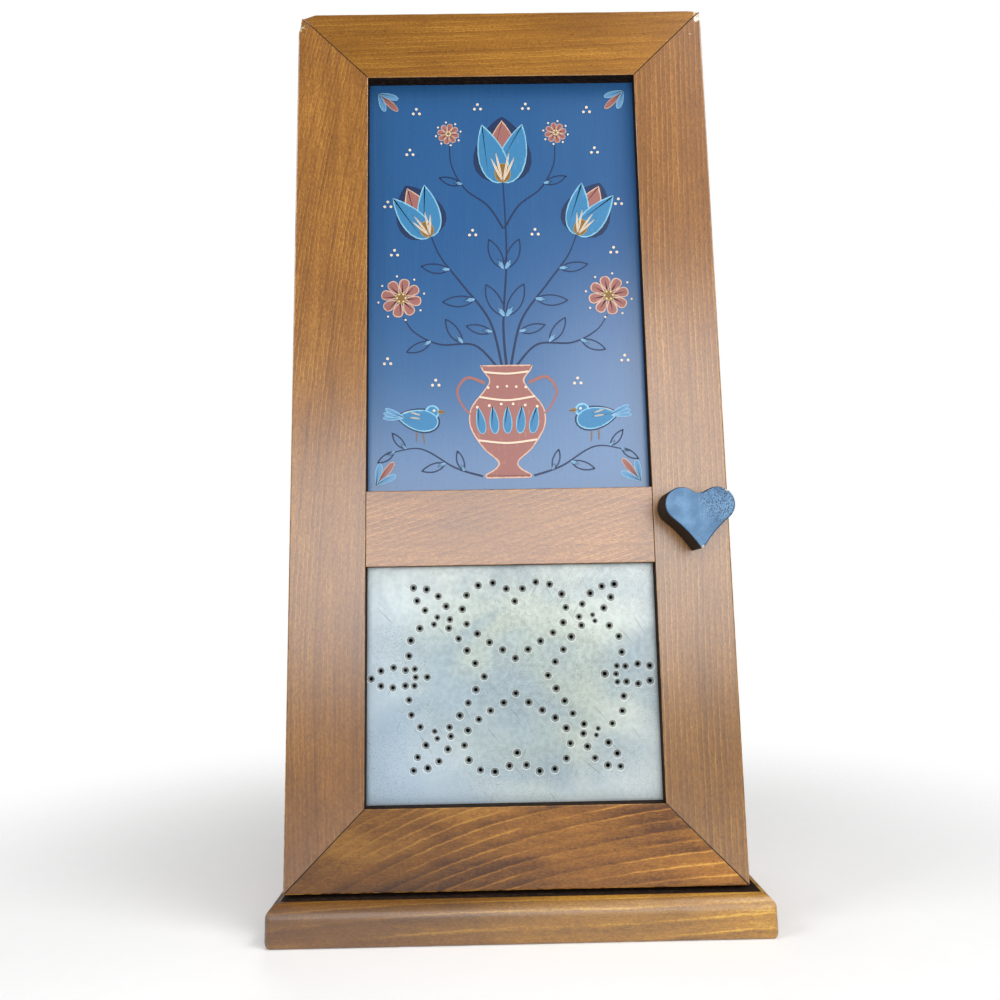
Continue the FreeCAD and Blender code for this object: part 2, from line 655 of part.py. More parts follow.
def punch_points():
    """Every hole of the pattern, measured from the middle of the pattern."""
    points = []
    for quarter in range(4):
        turn = quarter * pi / 2
        tip = UPRIGHT_HEART_TIP if quarter % 2 == 0 else LEVEL_HEART_TIP
        points += turned(heart_holes(), turn, (-tip * sin(turn), tip * cos(turn)))
    diagonal = atan2(CORNER_LEAF_Z, CORNER_LEAF_X)
    for side in (LEFT, RIGHT):
        upright = 0 if side == RIGHT else pi
        points += turned(leaf_holes(SIDE_LEAF_LENGTH), upright, (side * SIDE_LEAF_X, 0))
        for level in (LEFT, RIGHT):
            turn = level * diagonal if side == RIGHT else pi - level * diagonal
            inner_end = (side * CORNER_LEAF_X, level * CORNER_LEAF_Z)
            points += turned(leaf_holes(CORNER_LEAF_LENGTH), turn, inner_end)
    return points


def tin_panel():
    """The tin sheet with its punched holes, each wide at the front and narrow at the back."""
    middle_z = sum(TIN_OPENING) / 2 + PATTERN_SHIFT_Z
    punch = prism(PUNCH_MOUTH_RADIUS, PUNCH_HOLE_RADIUS, 0, TIN_THICKNESS)
    punches = []
    for x, z in punch_points():
        punches.append(placed(punch, Vector(PATTERN_SHIFT_X + x, PANEL_Y, middle_z + z), TOWARDS_BACK))
    return cut_all(panel_blank(TIN_OPENING, TIN_THICKNESS), punches)


def panel_stops(opening, thickness):
    """The four strips behind a panel, level with the frame's back, and the nails that hold them."""
    front = PANEL_Y + thickness
    low, high = opening
    outer = OPENING_HALF + REBATE_WIDTH
    upright_zs = (low - REBATE_WIDTH, high + REBATE_WIDTH)
    strips = {
        "left": box((-outer, -OPENING_HALF), (front, DOOR_BACK_Y), upright_zs),
        "right": box((OPENING_HALF, outer), (front, DOOR_BACK_Y), upright_zs),
        "top": box((-OPENING_HALF, OPENING_HALF), (front, DOOR_BACK_Y), (high, high + REBATE_WIDTH)),
        "bottom": box((-OPENING_HALF, OPENING_HALF), (front, DOOR_BACK_Y), (low - REBATE_WIDTH, low)),
    }
    eased = {
        "left": {"x": -OPENING_HALF},
        "right": {"x": OPENING_HALF},
        "top": {"z": high},
        "bottom": {"z": low},
    }
    for name, place in eased.items():
        strips[name] = strips[name].makeChamfer(STOP_CHAMFER, edges_at(strips[name], y=DOOR_BACK_Y, **place))
    return strips


def stop_nails(opening, thickness):
    """Two nails through each strip into the frame, in the plane of the door."""
    low, high = opening
    middle = (PANEL_Y + thickness + DOOR_BACK_Y) / 2
    half = STOP_NAIL_SIZE / 2
    depth = (middle - half, middle + half)
    nails = []
    for share in STOP_NAIL_SHARES:
        z = low + share * (high - low)
        x = -OPENING_HALF + share * 2 * OPENING_HALF
        for side in (LEFT, RIGHT):
            reach = (side * OPENING_HALF, side * (OPENING_HALF + STOP_NAIL_LENGTH))
            nails.append(box(reach, depth, (z - half, z + half)))
        nails.append(box((x - half, x + half), depth, (high, high + STOP_NAIL_LENGTH)))
        nails.append(box((x - half, x + half), depth, (low - STOP_NAIL_LENGTH, low)))
    return nails


def point_between(centre, toward, radius):
    """The point on a circle that faces another point."""
    return centre + (toward - centre).normalize() * radius


def arc_about(centre, radius, start, end):
    """The shorter arc of a circle between two of its points."""
    middle = point_between(centre, (start + end) / 2, radius)
    return Part.Arc(start, middle, end).toShape()


def knob_outline():
    """The right half of the knob's outline, from the cleft to the tip, with the tip's middle at the origin.

    Each arc touches the next: the cleft's circle the lobe's, and the lobe's the hollow flank's.
    """
    spread = KNOB_WIDTH / 2 - KNOB_LOBE_RADIUS
    lobe = Vector(spread, 0, KNOB_HEIGHT - KNOB_LOBE_RADIUS)
    reach = KNOB_LOBE_RADIUS + KNOB_CLEFT_RADIUS
    cleft = Vector(0, 0, lobe.z + (reach**2 - spread**2) ** 0.5)
    tip = Vector(KNOB_TIP_HALF_WIDTH, 0, 0)
    chord = lobe - tip
    outer = KNOB_LOBE_RADIUS + KNOB_FLANK_RADIUS
    along = (chord.Length**2 + KNOB_FLANK_RADIUS**2 - outer**2) / (2 * chord.Length)
    aside = (KNOB_FLANK_RADIUS**2 - along**2) ** 0.5
    direction = chord.normalize()
    flank = tip + direction * along + Vector(direction.z, 0, -direction.x) * aside
    dip = cleft - UP * KNOB_CLEFT_RADIUS
    crest = point_between(lobe, cleft, KNOB_LOBE_RADIUS)
    waist = point_between(lobe, flank, KNOB_LOBE_RADIUS)
    widest = lobe + Vector(KNOB_LOBE_RADIUS, 0, 0)
    return [
        arc_about(cleft, KNOB_CLEFT_RADIUS, dip, crest),
        Part.Arc(crest, point_between(lobe, (crest + widest) / 2, KNOB_LOBE_RADIUS), widest).toShape(),
        arc_about(lobe, KNOB_LOBE_RADIUS, widest, waist),
        arc_about(flank, KNOB_FLANK_RADIUS, waist, tip),
        Part.LineSegment(tip, Vector(0, 0, 0)).toShape(),
    ]


def heart_knob():
    """The knob, thick enough to grip, with an eased front edge."""
    right = knob_outline()
    left = [edge.mirror(Vector(0, 0, 0), Vector(1, 0, 0)) for edge in right]
    outline = Part.Wire(Part.sortEdges(right + left)[0])
    shape = Part.Face(outline).extrude(TOWARDS_FRONT * KNOB_THICKNESS)
    shape.translate(Vector(KNOB_X, DOOR_FRONT_Y, KNOB_Z - KNOB_HEIGHT / 2))
    shape = shape.removeSplitter()
    return shape.makeChamfer(KNOB_ARRIS, edges_at(shape, y=DOOR_FRONT_Y - KNOB_THICKNESS))


def knob_screw():
    """A pan-head screw from the back of the stile into the knob."""
    shank = prism(KNOB_SCREW_RADIUS, KNOB_SCREW_RADIUS, -DOOR_THICKNESS - KNOB_SCREW_BITE, 0)
    head = prism(KNOB_SCREW_HEAD_RADIUS, KNOB_SCREW_RADIUS, 0, KNOB_SCREW_HEAD_HEIGHT)
    return placed(shank.fuse(head), Vector(KNOB_X, DOOR_BACK_Y, KNOB_Z), TOWARDS_BACK)


def case_nodes():
    """Every piece that stands still, with the holes that its fasteners need."""
    nails = case_nails()
    tacks = back_nails()
    screws = base_screws()
    leaf_screws = hinge_screws(of_door=False)
    clip_screws = catch_screws()
    housing, magnet, poles = catch_pieces()
    gains = [hinge_gain(centre, of_door=False) for centre in HINGE_HEIGHTS]
    nodes = {
        "plinth_base": cut_all(base_board(), screws),
        "left_side": cut_all(side_board(LEFT), gains + nails + tacks + screws + leaf_screws),
        "right_side": cut_all(side_board(RIGHT), nails + tacks + screws + clip_screws),
        "back_panel": cut_all(back_panel(), tacks),
        "hanging_rail": cut_all(hanging_rail(), nails),
        "case_nails": Part.makeCompound(nails),
        "back_panel_nails": Part.makeCompound(tacks),
        "plinth_screws": Part.makeCompound(screws),
        "catch_housing": cut_all(housing, clip_screws),
        "catch_magnet": magnet,
        "catch_poles": Part.makeCompound(poles),
        "catch_screws": Part.makeCompound(clip_screws),
        "case_hinge_screws": Part.makeCompound(leaf_screws),
    }
    for name in board_ends():
        nodes[name] = cut_all(cross_board(name), nails)
    for name, centre in (("lower", LOWER_HINGE_Z), ("upper", UPPER_HINGE_Z)):
        nodes[name + "_hinge_case_leaf"] = cut_all(hinge_leaf(centre, of_door=False), leaf_screws)
        nodes[name + "_hinge_pin"] = hinge_pin(centre)
    return nodes


def door_nodes():
    """Every piece that swings with the door."""
    screw = knob_screw()
    plate_screw = strike_screw()
    leaf_screws = hinge_screws(of_door=True)
    gains = [hinge_gain(centre, of_door=True) for centre in HINGE_HEIGHTS]
    panels = {
        "painted_panel": (PAINTED_OPENING, PAINTED_PANEL_THICKNESS),
        "tin_panel": (TIN_OPENING, TIN_THICKNESS),
    }
    nails = []
    for opening, thickness in panels.values():
        nails += stop_nails(opening, thickness)
    nodes = {
        "door_stile_left": cut_all(door_stile(LEFT), gains + leaf_screws + nails),
        "door_stile_right": cut_all(door_stile(RIGHT), [screw, plate_screw] + nails),
        "door_top_rail": cut_all(end_rail(DOOR_TOP_Z, -1), nails),
        "door_bottom_rail": cut_all(end_rail(DOOR_Z, 1), nails),
        "door_mid_rail": cut_all(mid_rail(), nails),
        "mitre_keys": Part.makeCompound(mitre_keys()),
        "painted_panel": panel_blank(*panels["painted_panel"]),
        "tin_panel": tin_panel(),
        "stop_nails": Part.makeCompound(nails),
        "heart_knob": heart_knob().cut(screw),
        "knob_screw": screw,
        "door_hinge_screws": Part.makeCompound(leaf_screws),
        "strike_plate": strike_plate().cut(plate_screw),
        "strike_screw": plate_screw,
    }
    for name, (opening, thickness) in panels.items():
        for place, strip in panel_stops(opening, thickness).items():
            nodes[name + "_stop_" + place] = cut_all(strip, nails)
    for name, centre in (("lower", LOWER_HINGE_Z), ("upper", UPPER_HINGE_Z)):
        nodes[name + "_hinge_door_leaf"] = cut_all(hinge_leaf(centre, of_door=True), leaf_screws)
    return nodes


def main():
    os.makedirs("parts", exist_ok=True)
    for name, shape in {**case_nodes(), **door_nodes()}.items():
        shape.exportStep("parts/" + name + ".step")
        state = "valid" if shape.isValid() else "INVALID"
        print(name, len(shape.Solids), "solids", round(shape.Volume), "mm3", state)


main()
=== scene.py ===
"""A slim one-door country cabinet: stained pine, a painted panel, punched tin and a heart-shaped knob."""

import logging
import math
import random
from dataclasses import dataclass, field
from enum import Enum
from typing import Callable, Iterable, Sequence

import bmesh
import bpy
from bmesh.types import BMEdge, BMesh, BMFace, BMVert
from bpy.types import ID, Material, Mesh, Node, NodeSocket, Object
from mathutils import Matrix, Vector, noise
from mathutils.geometry import interpolate_bezier


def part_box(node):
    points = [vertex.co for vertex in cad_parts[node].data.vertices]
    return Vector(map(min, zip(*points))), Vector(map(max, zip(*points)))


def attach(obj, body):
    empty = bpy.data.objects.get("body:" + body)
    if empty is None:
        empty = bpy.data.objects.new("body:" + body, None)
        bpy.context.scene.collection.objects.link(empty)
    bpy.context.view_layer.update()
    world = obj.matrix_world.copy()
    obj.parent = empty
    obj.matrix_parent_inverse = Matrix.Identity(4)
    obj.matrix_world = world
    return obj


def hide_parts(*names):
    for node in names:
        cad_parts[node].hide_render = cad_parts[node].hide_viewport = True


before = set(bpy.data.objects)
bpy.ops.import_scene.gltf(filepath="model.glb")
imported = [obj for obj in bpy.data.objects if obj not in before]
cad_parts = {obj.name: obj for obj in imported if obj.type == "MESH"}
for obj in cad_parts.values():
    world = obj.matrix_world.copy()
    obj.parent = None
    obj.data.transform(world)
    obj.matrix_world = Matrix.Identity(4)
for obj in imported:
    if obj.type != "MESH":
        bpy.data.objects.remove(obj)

LOG = logging.getLogger("cabinet")
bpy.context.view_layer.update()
MM = 0.001
WELD = 0.004 * MM
CASE = "case"
DOOR = "door"

Colour = tuple[float, float, float, float]
Point = tuple[float, float]
Point3 = tuple[float, float, float]


def shade(red: int, green: int, blue: int) -> Colour:
    """A colour given as a paint chart gives it, from 0 to 255, turned into linear light.

    Args:
        red: The red part.
        green: The green part.
        blue: The blue part.

    Returns:
        The colour with full cover.
    """
    parts = [part / 255 for part in (red, green, blue)]
    linear = [part / 12.92 if part <= 0.04045 else ((part + 0.055) / 1.055) ** 2.4 for part in parts]
    return (*linear, 1.0)



class Signal:
    """What a node gives at each point of a piece: a number, a vector or a colour."""

    def __init__(self, graph: "Graph", socket: NodeSocket) -> None:
        """Keeps the node tree and the node's output."""
        self.graph = graph
        self.socket = socket

    def __add__(self, other: object) -> "Signal":
        """This number and another."""
        return self.graph.maths("ADD", self, other)

    def __sub__(self, other: object) -> "Signal":
        """This number less another."""
        return self.graph.maths("SUBTRACT", self, other)

    def __rsub__(self, other: float) -> "Signal":
        """A fixed number less this one."""
        return self.graph.maths("SUBTRACT", other, self)

    def __mul__(self, other: object) -> "Signal":
        """This number times another."""
        return self.graph.maths("MULTIPLY", self, other)

    def __truediv__(self, other: object) -> "Signal":
        """This number divided by another."""
        return self.graph.maths("DIVIDE", self, other)

    def span(self, low: float, high: float, start: float = 0.0, end: float = 1.0) -> "Signal":
        """This number spread smoothly from one range to another.

        Args:
            low: The number that becomes start.
            high: The number that becomes end.
            start: The result at low and beyond it.
            end: The result at high and beyond it.

        Returns:
            The spread number.
        """
        inputs = {"Value": self, 1: low, 2: high, 3: start, 4: end}
        return self.graph.out("MapRange", inputs, interpolation_type="SMOOTHSTEP")


class Graph:
    """The node tree of one finish."""

    def __init__(self, name: str) -> None:
        """Starts a material with one shader.

        Args:
            name: The material's name.
        """
        self.material = bpy.data.materials.new(name)
        self.material.use_nodes = True
        self.tree = self.material.node_tree
        self.tree.nodes.clear()
        self.end = self.node("OutputMaterial")
        self.shader = self.node("BsdfPrincipled")
        self.feed(self.end.inputs[0], self.shader.outputs[0])

    def feed(self, socket: NodeSocket, value: object) -> None:
        """Links a socket, or sets its own value.

        Args:
            socket: The input to feed.
            value: A signal or another node's output, or a number, vector or colour.
        """
        source = value.socket if isinstance(value, Signal) else value
        if isinstance(source, NodeSocket):
            self.tree.links.new(source, socket)
        else:
            socket.default_value = source

    def node(self, kind: str, inputs: dict | None = None, **settings: object) -> Node:
        """Adds a node.

        Args:
            kind: The node's type, without its common prefix.
            inputs: Values or signals, by the input's name or number.
            settings: The node's own properties.

        Returns:
            The new node.
        """
        made = self.tree.nodes.new("ShaderNode" + kind)
        for key, value in settings.items():
            setattr(made, key, value)
        for key, value in (inputs or {}).items():
            self.feed(made.inputs[key], value)
        return made

    def out(self, kind: str, inputs: dict | None = None, output: int | str = 0, **settings: object) -> Signal:
        """Adds a node and gives one of its outputs."""
        return Signal(self, self.node(kind, inputs, **settings).outputs[output])

    def point(self) -> Signal:
        """The place on the piece, in the frame's own metres."""
        return self.out("TexCoord", output="Object")

    def mark(self, name: str) -> Signal:
        """A number kept on the piece's points."""
        return self.out("Attribute", output="Fac", attribute_name=name)

    def maths(self, operation: str, *values: object, clamp: bool = False) -> Signal:
        """One sum of numbers, kept between 0 and 1 if it is clamped."""
        return self.out("Math", dict(enumerate(values)), operation=operation, use_clamp=clamp)

    def vector(self, operation: str, *values: object) -> Signal:
        """One sum of vectors."""
        return self.out("VectorMath", dict(enumerate(values)), operation=operation)

    def length(self, vector: Signal) -> Signal:
        """A vector's length."""
        return self.out("VectorMath", {0: vector}, "Value", operation="LENGTH")

    def turned(self, vector: Signal, turn: Sequence[float]) -> Signal:
        """A vector turned by three angles."""
        return self.out("Mapping", {"Vector": vector, "Rotation": turn})

    def split(self, vector: Signal) -> list[Signal]:
        """The three parts of a vector."""
        return [Signal(self, part) for part in self.node("SeparateXYZ", {0: vector}).outputs]

    def joined(self, *parts: object) -> Signal:
        """A vector of three parts."""
        return self.out("CombineXYZ", dict(enumerate(parts)))

    def noise(self, vector: Signal, scale: float | Point3, detail: float = 2.0, warp: float = 0.0) -> Signal:
        """Soft noise from 0 to 1.

        Args:
            vector: Where the noise is read.
            scale: How many features it has in a metre, one number or one for each way.
            detail: How many finer layers it has.
            warp: How far it is pulled out of shape.

        Returns:
            The noise's value.
        """
        if isinstance(scale, tuple):
            vector, scale = self.vector("MULTIPLY", vector, scale), 1.0
        inputs = {"Vector": vector, "Scale": scale, "Detail": detail, "Distortion": warp}
        return self.out("TexNoise", inputs)

    def mix(self, share: object, first: object, second: object, blend: str = "MIX") -> Signal:
        """Two colours mixed by a share of the second."""
        inputs = {0: share, 6: first, 7: second}
        return self.out("Mix", inputs, 2, data_type="RGBA", blend_type=blend)

    def ramp(self, value: Signal, stops: Sequence[tuple[float, Colour | float]]) -> Signal:
        """Colours along a value.

        Args:
            value: Where on the ramp to read.
            stops: Each place with its colour, or with a grey from 0 to 1.

        Returns:
            The colour.
        """
        made = self.node("ValToRGB", {0: value})
        elements = made.color_ramp.elements
        for index, (place, colour) in enumerate(stops):
            element = elements[index] if index < len(elements) else elements.new(place)
            element.position = place
            element.color = colour if isinstance(colour, tuple) else (colour, colour, colour, 1.0)
        return Signal(self, made.outputs[0])

    def bump(
        self, height: Signal, depth: float, strength: float = 0.5, under: Signal | None = None
    ) -> Signal:
        """A surface normal for small relief.

        Args:
            height: The relief, from 0 to 1.
            depth: Its real depth in metres.
            strength: How much of it shows.
            under: The normal of the coarser relief that it lies on.

        Returns:
            The normal.
        """
        inputs = {"Height": height, "Distance": depth, "Strength": strength}
        if under is not None:
            inputs["Normal"] = under
        return self.out("Bump", inputs)

    def surface(
        self, colour: object, roughness: object, normal: Signal | None = None, **fixed: object
    ) -> Material:
        """Feeds the shader and gives the finished material.

        Args:
            colour: The base colour.
            roughness: The roughness.
            normal: Relief, if there is any.
            fixed: Other inputs that are the same all over, their spaces written as underscores.

        Returns:
            The material.
        """
        self.feed(self.shader.inputs["Base Color"], colour)
        self.feed(self.shader.inputs["Roughness"], roughness)
        if normal is not None:
            self.feed(self.shader.inputs["Normal"], normal)
        for name, value in fixed.items():
            self.shader.inputs[name.replace("_", " ")].default_value = value
        return self.material


def varnish(coat: float, gloss: float) -> dict[str, float]:
    """The shader's inputs for a clear coat of this thickness and roughness."""
    return dict(Specular_IOR_Level=0.1, Coat_Weight=coat, Coat_Roughness=gloss, Coat_IOR=1.85)


class Grain(Enum):
    """The way a board's grain runs, as the turn that lays it along the pattern's own Z."""

    UP = (0.0, 0.0, 0.0)
    ACROSS = (0.0, math.pi / 2, 0.0)


@dataclass(frozen=True)
class StainedPine:
    """Pine under a golden-brown wiping stain and a satin varnish.

    Attributes:
        name: The finish's name.
        centre: The middle of the board.
        grain: The way the grain runs.
        pith: How far the tree's heart lies from the middle, across and behind the face.
        lean: How far the heart moves across in each metre of the board.
        bow: How much the grain bends along the board.
        ring: The width of a year's ring.
        wander: How far the rings stray.
        line: How pale the thin line at each ring's edge is.
        band: How dark the wood is beside that line.
        blotch: How unevenly the stain took.
        tint_and_painted_light: A tint at the board's left or lower end, darker than the far end's as painted
            shade.
        far_tint_and_painted_light: A tint at its other end, lighter as painted light.
        length: The board's length, over which the tint and the painted light change.
        coat: How thick the varnish is.
        gloss: How rough the varnish is.
        seed: What makes this board's noise its own.
    """

    name: str
    centre: Vector
    grain: Grain = Grain.UP
    pith: Point = (0.5, 0.05)
    lean: float = 0.02
    bow: float = 0.0
    ring: float = 0.004
    wander: float = 0.004
    line: float = 0.3
    band: float = 0.1
    blotch: float = 0.5
    tint_and_painted_light: Colour = (1.0, 1.0, 1.0, 1.0)
    far_tint_and_painted_light: Colour | None = None
    length: float = 0.3
    coat: float = 1.0
    gloss: float = 0.3
    seed: float = 0.0

    PALE = shade(190, 138, 62)
    GOLD = shade(142, 93, 36)
    BROWN = shade(78, 44, 18)
    DIRT_AND_SHADE = shade(30, 19, 12)
    RAW = shade(214, 184, 140)
    JAG = 2.4 * MM
    RELIEF = 0.12 * MM

    def years(self, graph: Graph, wood: Signal, own: Signal) -> Signal:
        """How many years lie between a point and the tree's heart.

        Args:
            graph: The finish's nodes.
            wood: The place in the board, its grain along Z.
            own: The same place, moved by the board's seed.

        Returns:
            The number of years, with its fraction.
        """
        across, depth, along = graph.split(wood)
        sway = graph.noise(own, (9, 9, 2.6), 1.5) - 0.5
        jag = graph.noise(own, (150, 150, 75)) - 0.5
        aside = across - self.pith[0] + along * self.lean + along * along * self.bow
        aside = aside + (jag * self.JAG + sway * (self.wander * 4))
        return graph.length(graph.joined(aside, depth - self.pith[1], 0)) / self.ring

    def material(self) -> Material:
        """Makes the stain's material.

        Returns:
            The material.
        """
        graph = Graph(self.name)
        local = graph.vector("SUBTRACT", graph.point(), tuple(self.centre))
        wood = graph.turned(local, self.grain.value)
        own = graph.vector("ADD", wood, (self.seed, self.seed * 1.7, self.seed * 0.3))
        year = self.years(graph, wood, own)
        saw = graph.maths("FRACT", year)
        thin = graph.ramp(saw, [(0.0, 1.0), (0.1, 0.2), (0.2, 0.0), (0.9, 0.0), (1.0, 1.0)])
        late = graph.ramp(saw, [(0.0, 0.0), (0.16, 1.0), (0.55, 0.4), (0.95, 0.0)])
        chance = graph.out("TexWhiteNoise", {"W": graph.maths("FLOOR", year)}, noise_dimensions="1D")
        streak = graph.noise(own, (210, 210, 4.5), 3.0)
        cloud = graph.noise(own, (20, 20, 8), 3.0, 0.4)
        patch = graph.noise(own, (45, 45, 12)).span(0.36, 0.62)
        fibre = graph.noise(own, (1500, 1500, 60))
        grit = graph.noise(own, (950, 950, 420))
        pores = graph.noise(own, (1200, 1200, 230), 1.0).span(0.66, 0.73, 0.0, 0.55)
        value = 0.45 - thin * (patch * self.line) + late * chance * (self.band * 2)
        value = value + (streak - 0.5) * 0.34 + (grit - 0.5) * 0.62 + (fibre - 0.5) * 0.3
        value = graph.maths("ADD", value, (cloud - 0.48) * self.blotch, clamp=True)
        colour = graph.ramp(value, [(0.05, self.PALE), (0.45, self.GOLD), (0.95, self.BROWN)])
        # Painted light along the board: darker towards its left or lower end and lighter towards the other,
        # over its own tint.
        along = graph.split(local)[2 if self.grain is Grain.UP else 0]
        end = along.span(-self.length / 2, self.length / 2)
        colour = graph.mix(1.0, colour, graph.mix(end, self.tint_and_painted_light, self.far_tint_and_painted_light or self.tint_and_painted_light), "MULTIPLY")
        colour = graph.mix(pores, colour, self.BROWN)
        worn = (graph.mark("worn") * graph.noise(own, 170, 3.0)).span(0.38, 0.6)
        colour = graph.mix(worn * 0.8, colour, self.PALE)
        bare = ((graph.noise(own, 420) - 0.5) * 0.9 + graph.mark("bare")).span(0.34, 0.5)
        colour = graph.mix(bare, colour, graph.mix(grit.span(0.48, 0.6), self.RAW, self.BROWN))
        # Darkened by dirt at the joints and by painted shade inside the openings and on the base.
        colour = graph.mix(graph.mark("dirt_and_shade").span(0.1, 0.8), colour, self.DIRT_AND_SHADE)
        relief = grit * 0.5 + fibre * 0.6 - pores * 1.2
        rough = grit.span(0.3, 0.7, 0.4, 0.5) + bare * 0.3
        return graph.surface(colour, rough, graph.bump(relief, self.RELIEF), **varnish(self.coat, self.gloss))


def board_stain(node: str, **look: object) -> Material:
    """The stain of the board that this node is."""
    low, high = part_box(node)
    return StainedPine("stain_" + node, (low + high) / 2, length=max(high - low), **look).material()


@dataclass(frozen=True)
class PaintedShade:
    """Painted shade, almost black, on the inner faces of the door's openings, and painted shadow on the
    base's ledge.

    Attributes:
        name: The finish's name.
        deep: The darkest of it.
        brown: The wood where it shows through.
    """

    name: str = "painted_lip_shade"
    deep: Colour = shade(22, 15, 12)
    brown: Colour = shade(62, 40, 26)

    def material(self) -> Material:
        """Makes the painted shade's material.

        Returns:
            The material.
        """
        graph = Graph(self.name)
        streak = graph.noise(graph.point(), (260, 900, 260), 3.0)
        colour = graph.mix(streak.span(0.42, 0.72), self.deep, self.brown)
        return graph.surface(colour, 0.85, graph.bump(streak, 0.1 * MM), Specular_IOR_Level=0.15)


@dataclass(frozen=True)
class Plywood:
    """Thin unfinished plywood, browned with age.

    Attributes:
        name: The finish's name.
        face: Its main colour.
        turn: The colour between its face and its grain.
        vein: The colour of its grain.
    """

    name: str = "aged_plywood"
    face: Colour = shade(190, 150, 104)
    turn: Colour = shade(178, 135, 89)
    vein: Colour = shade(160, 116, 74)

    def material(self) -> Material:
        """Makes the plywood's material.

        Returns:
            The material.
        """
        graph = Graph(self.name)
        point = graph.point()
        bend = graph.joined(graph.noise(point, (7, 7, 2)) * 5, 0, 0)
        wide = graph.vector("ADD", graph.vector("MULTIPLY", point, (34, 34, 2.2)), bend)
        figure = graph.noise(wide, 1.0, 3.0, 0.6).span(0.3, 0.72)
        fibre = graph.noise(point, (1100, 1100, 26))
        colour = graph.ramp(figure, [(0.0, self.face), (0.55, self.turn), (1.0, self.vein)])
        colour = graph.mix(1.0, colour, fibre.span(0.25, 0.75, 1.08, 0.86), "MULTIPLY")
        colour = graph.mix(graph.mark("dirt_and_shade").span(0.1, 0.8), colour, StainedPine.DIRT_AND_SHADE)
        return graph.surface(colour, 0.68, graph.bump(fibre, 0.1 * MM))


@dataclass(frozen=True)
class PanelPaint:
    """Flat blue paint brushed along the grain of the panel.

    Attributes:
        name: The finish's name.
        deep: The paint at its bluest.
        thin: The paler blue of thin paint in the brush marks, and of the painted sheen low on the panel.
        speck: What shows through it.
        rise: How far up the panel the painted sheen reaches.
    """

    name: str = "panel_blue"
    deep: Colour = shade(26, 82, 136)
    thin: Colour = shade(62, 114, 160)
    speck: Colour = shade(24, 48, 78)
    rise: float = 230 * MM

    def material(self) -> Material:
        """Makes the paint's material.

        Returns:
            The material.
        """
        graph = Graph(self.name)
        point = graph.point()
        brush = graph.noise(point, (620, 620, 14), 2.5)
        cloud = graph.noise(point, (14, 14, 8))
        grit = graph.noise(point, 900, 1.0)
        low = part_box("door_mid_rail")[1].z
        # Painted sheen: the blue grows paler towards the bottom of the panel.
        painted_low_sheen = graph.split(point)[2].span(low, low + self.rise, 0.42, 0.06) - 0.2
        share = graph.maths("ADD", brush * 0.3 + cloud * 0.22, painted_low_sheen, clamp=True)
        colour = graph.mix(share, self.deep, self.thin)
        colour = graph.mix(grit.span(0.68, 0.75, 0.0, 0.6), colour, self.speck)
        rough = cloud.span(0.3, 0.7, 0.42, 0.56)
        return graph.surface(colour, rough, graph.bump(grit * 0.25 + brush, 0.12 * MM), **varnish(0.8, 0.3))


class Paint(Enum):
    """The colours of the painted design: each one's body and its lighter rim."""

    NAVY = (shade(16, 42, 82), shade(16, 42, 82))
    SKY = (shade(52, 122, 168), shade(134, 190, 214))
    MIST = (shade(98, 150, 192), shade(150, 194, 220))
    ROSE = (shade(152, 98, 92), shade(216, 178, 152))
    CREAM = (shade(226, 205, 182), shade(238, 222, 202))
    OCHRE = (shade(128, 96, 44), shade(170, 136, 74))

    def material(self) -> Material:
        """Makes the colour's material, laid on in short strokes.

        Returns:
            The material.
        """
        graph = Graph("design_" + self.name.lower())
        dab = graph.noise(graph.point(), (420, 420, 150), 3.0)
        fine = graph.noise(graph.point(), 1400, 1.0)
        share = (dab - 0.5) * 1.1 + graph.mark("rim")
        colour = graph.mix(share.span(0.1, 0.75), *self.value)
        return graph.surface(colour, 0.48, graph.bump(dab + fine, 0.08 * MM))


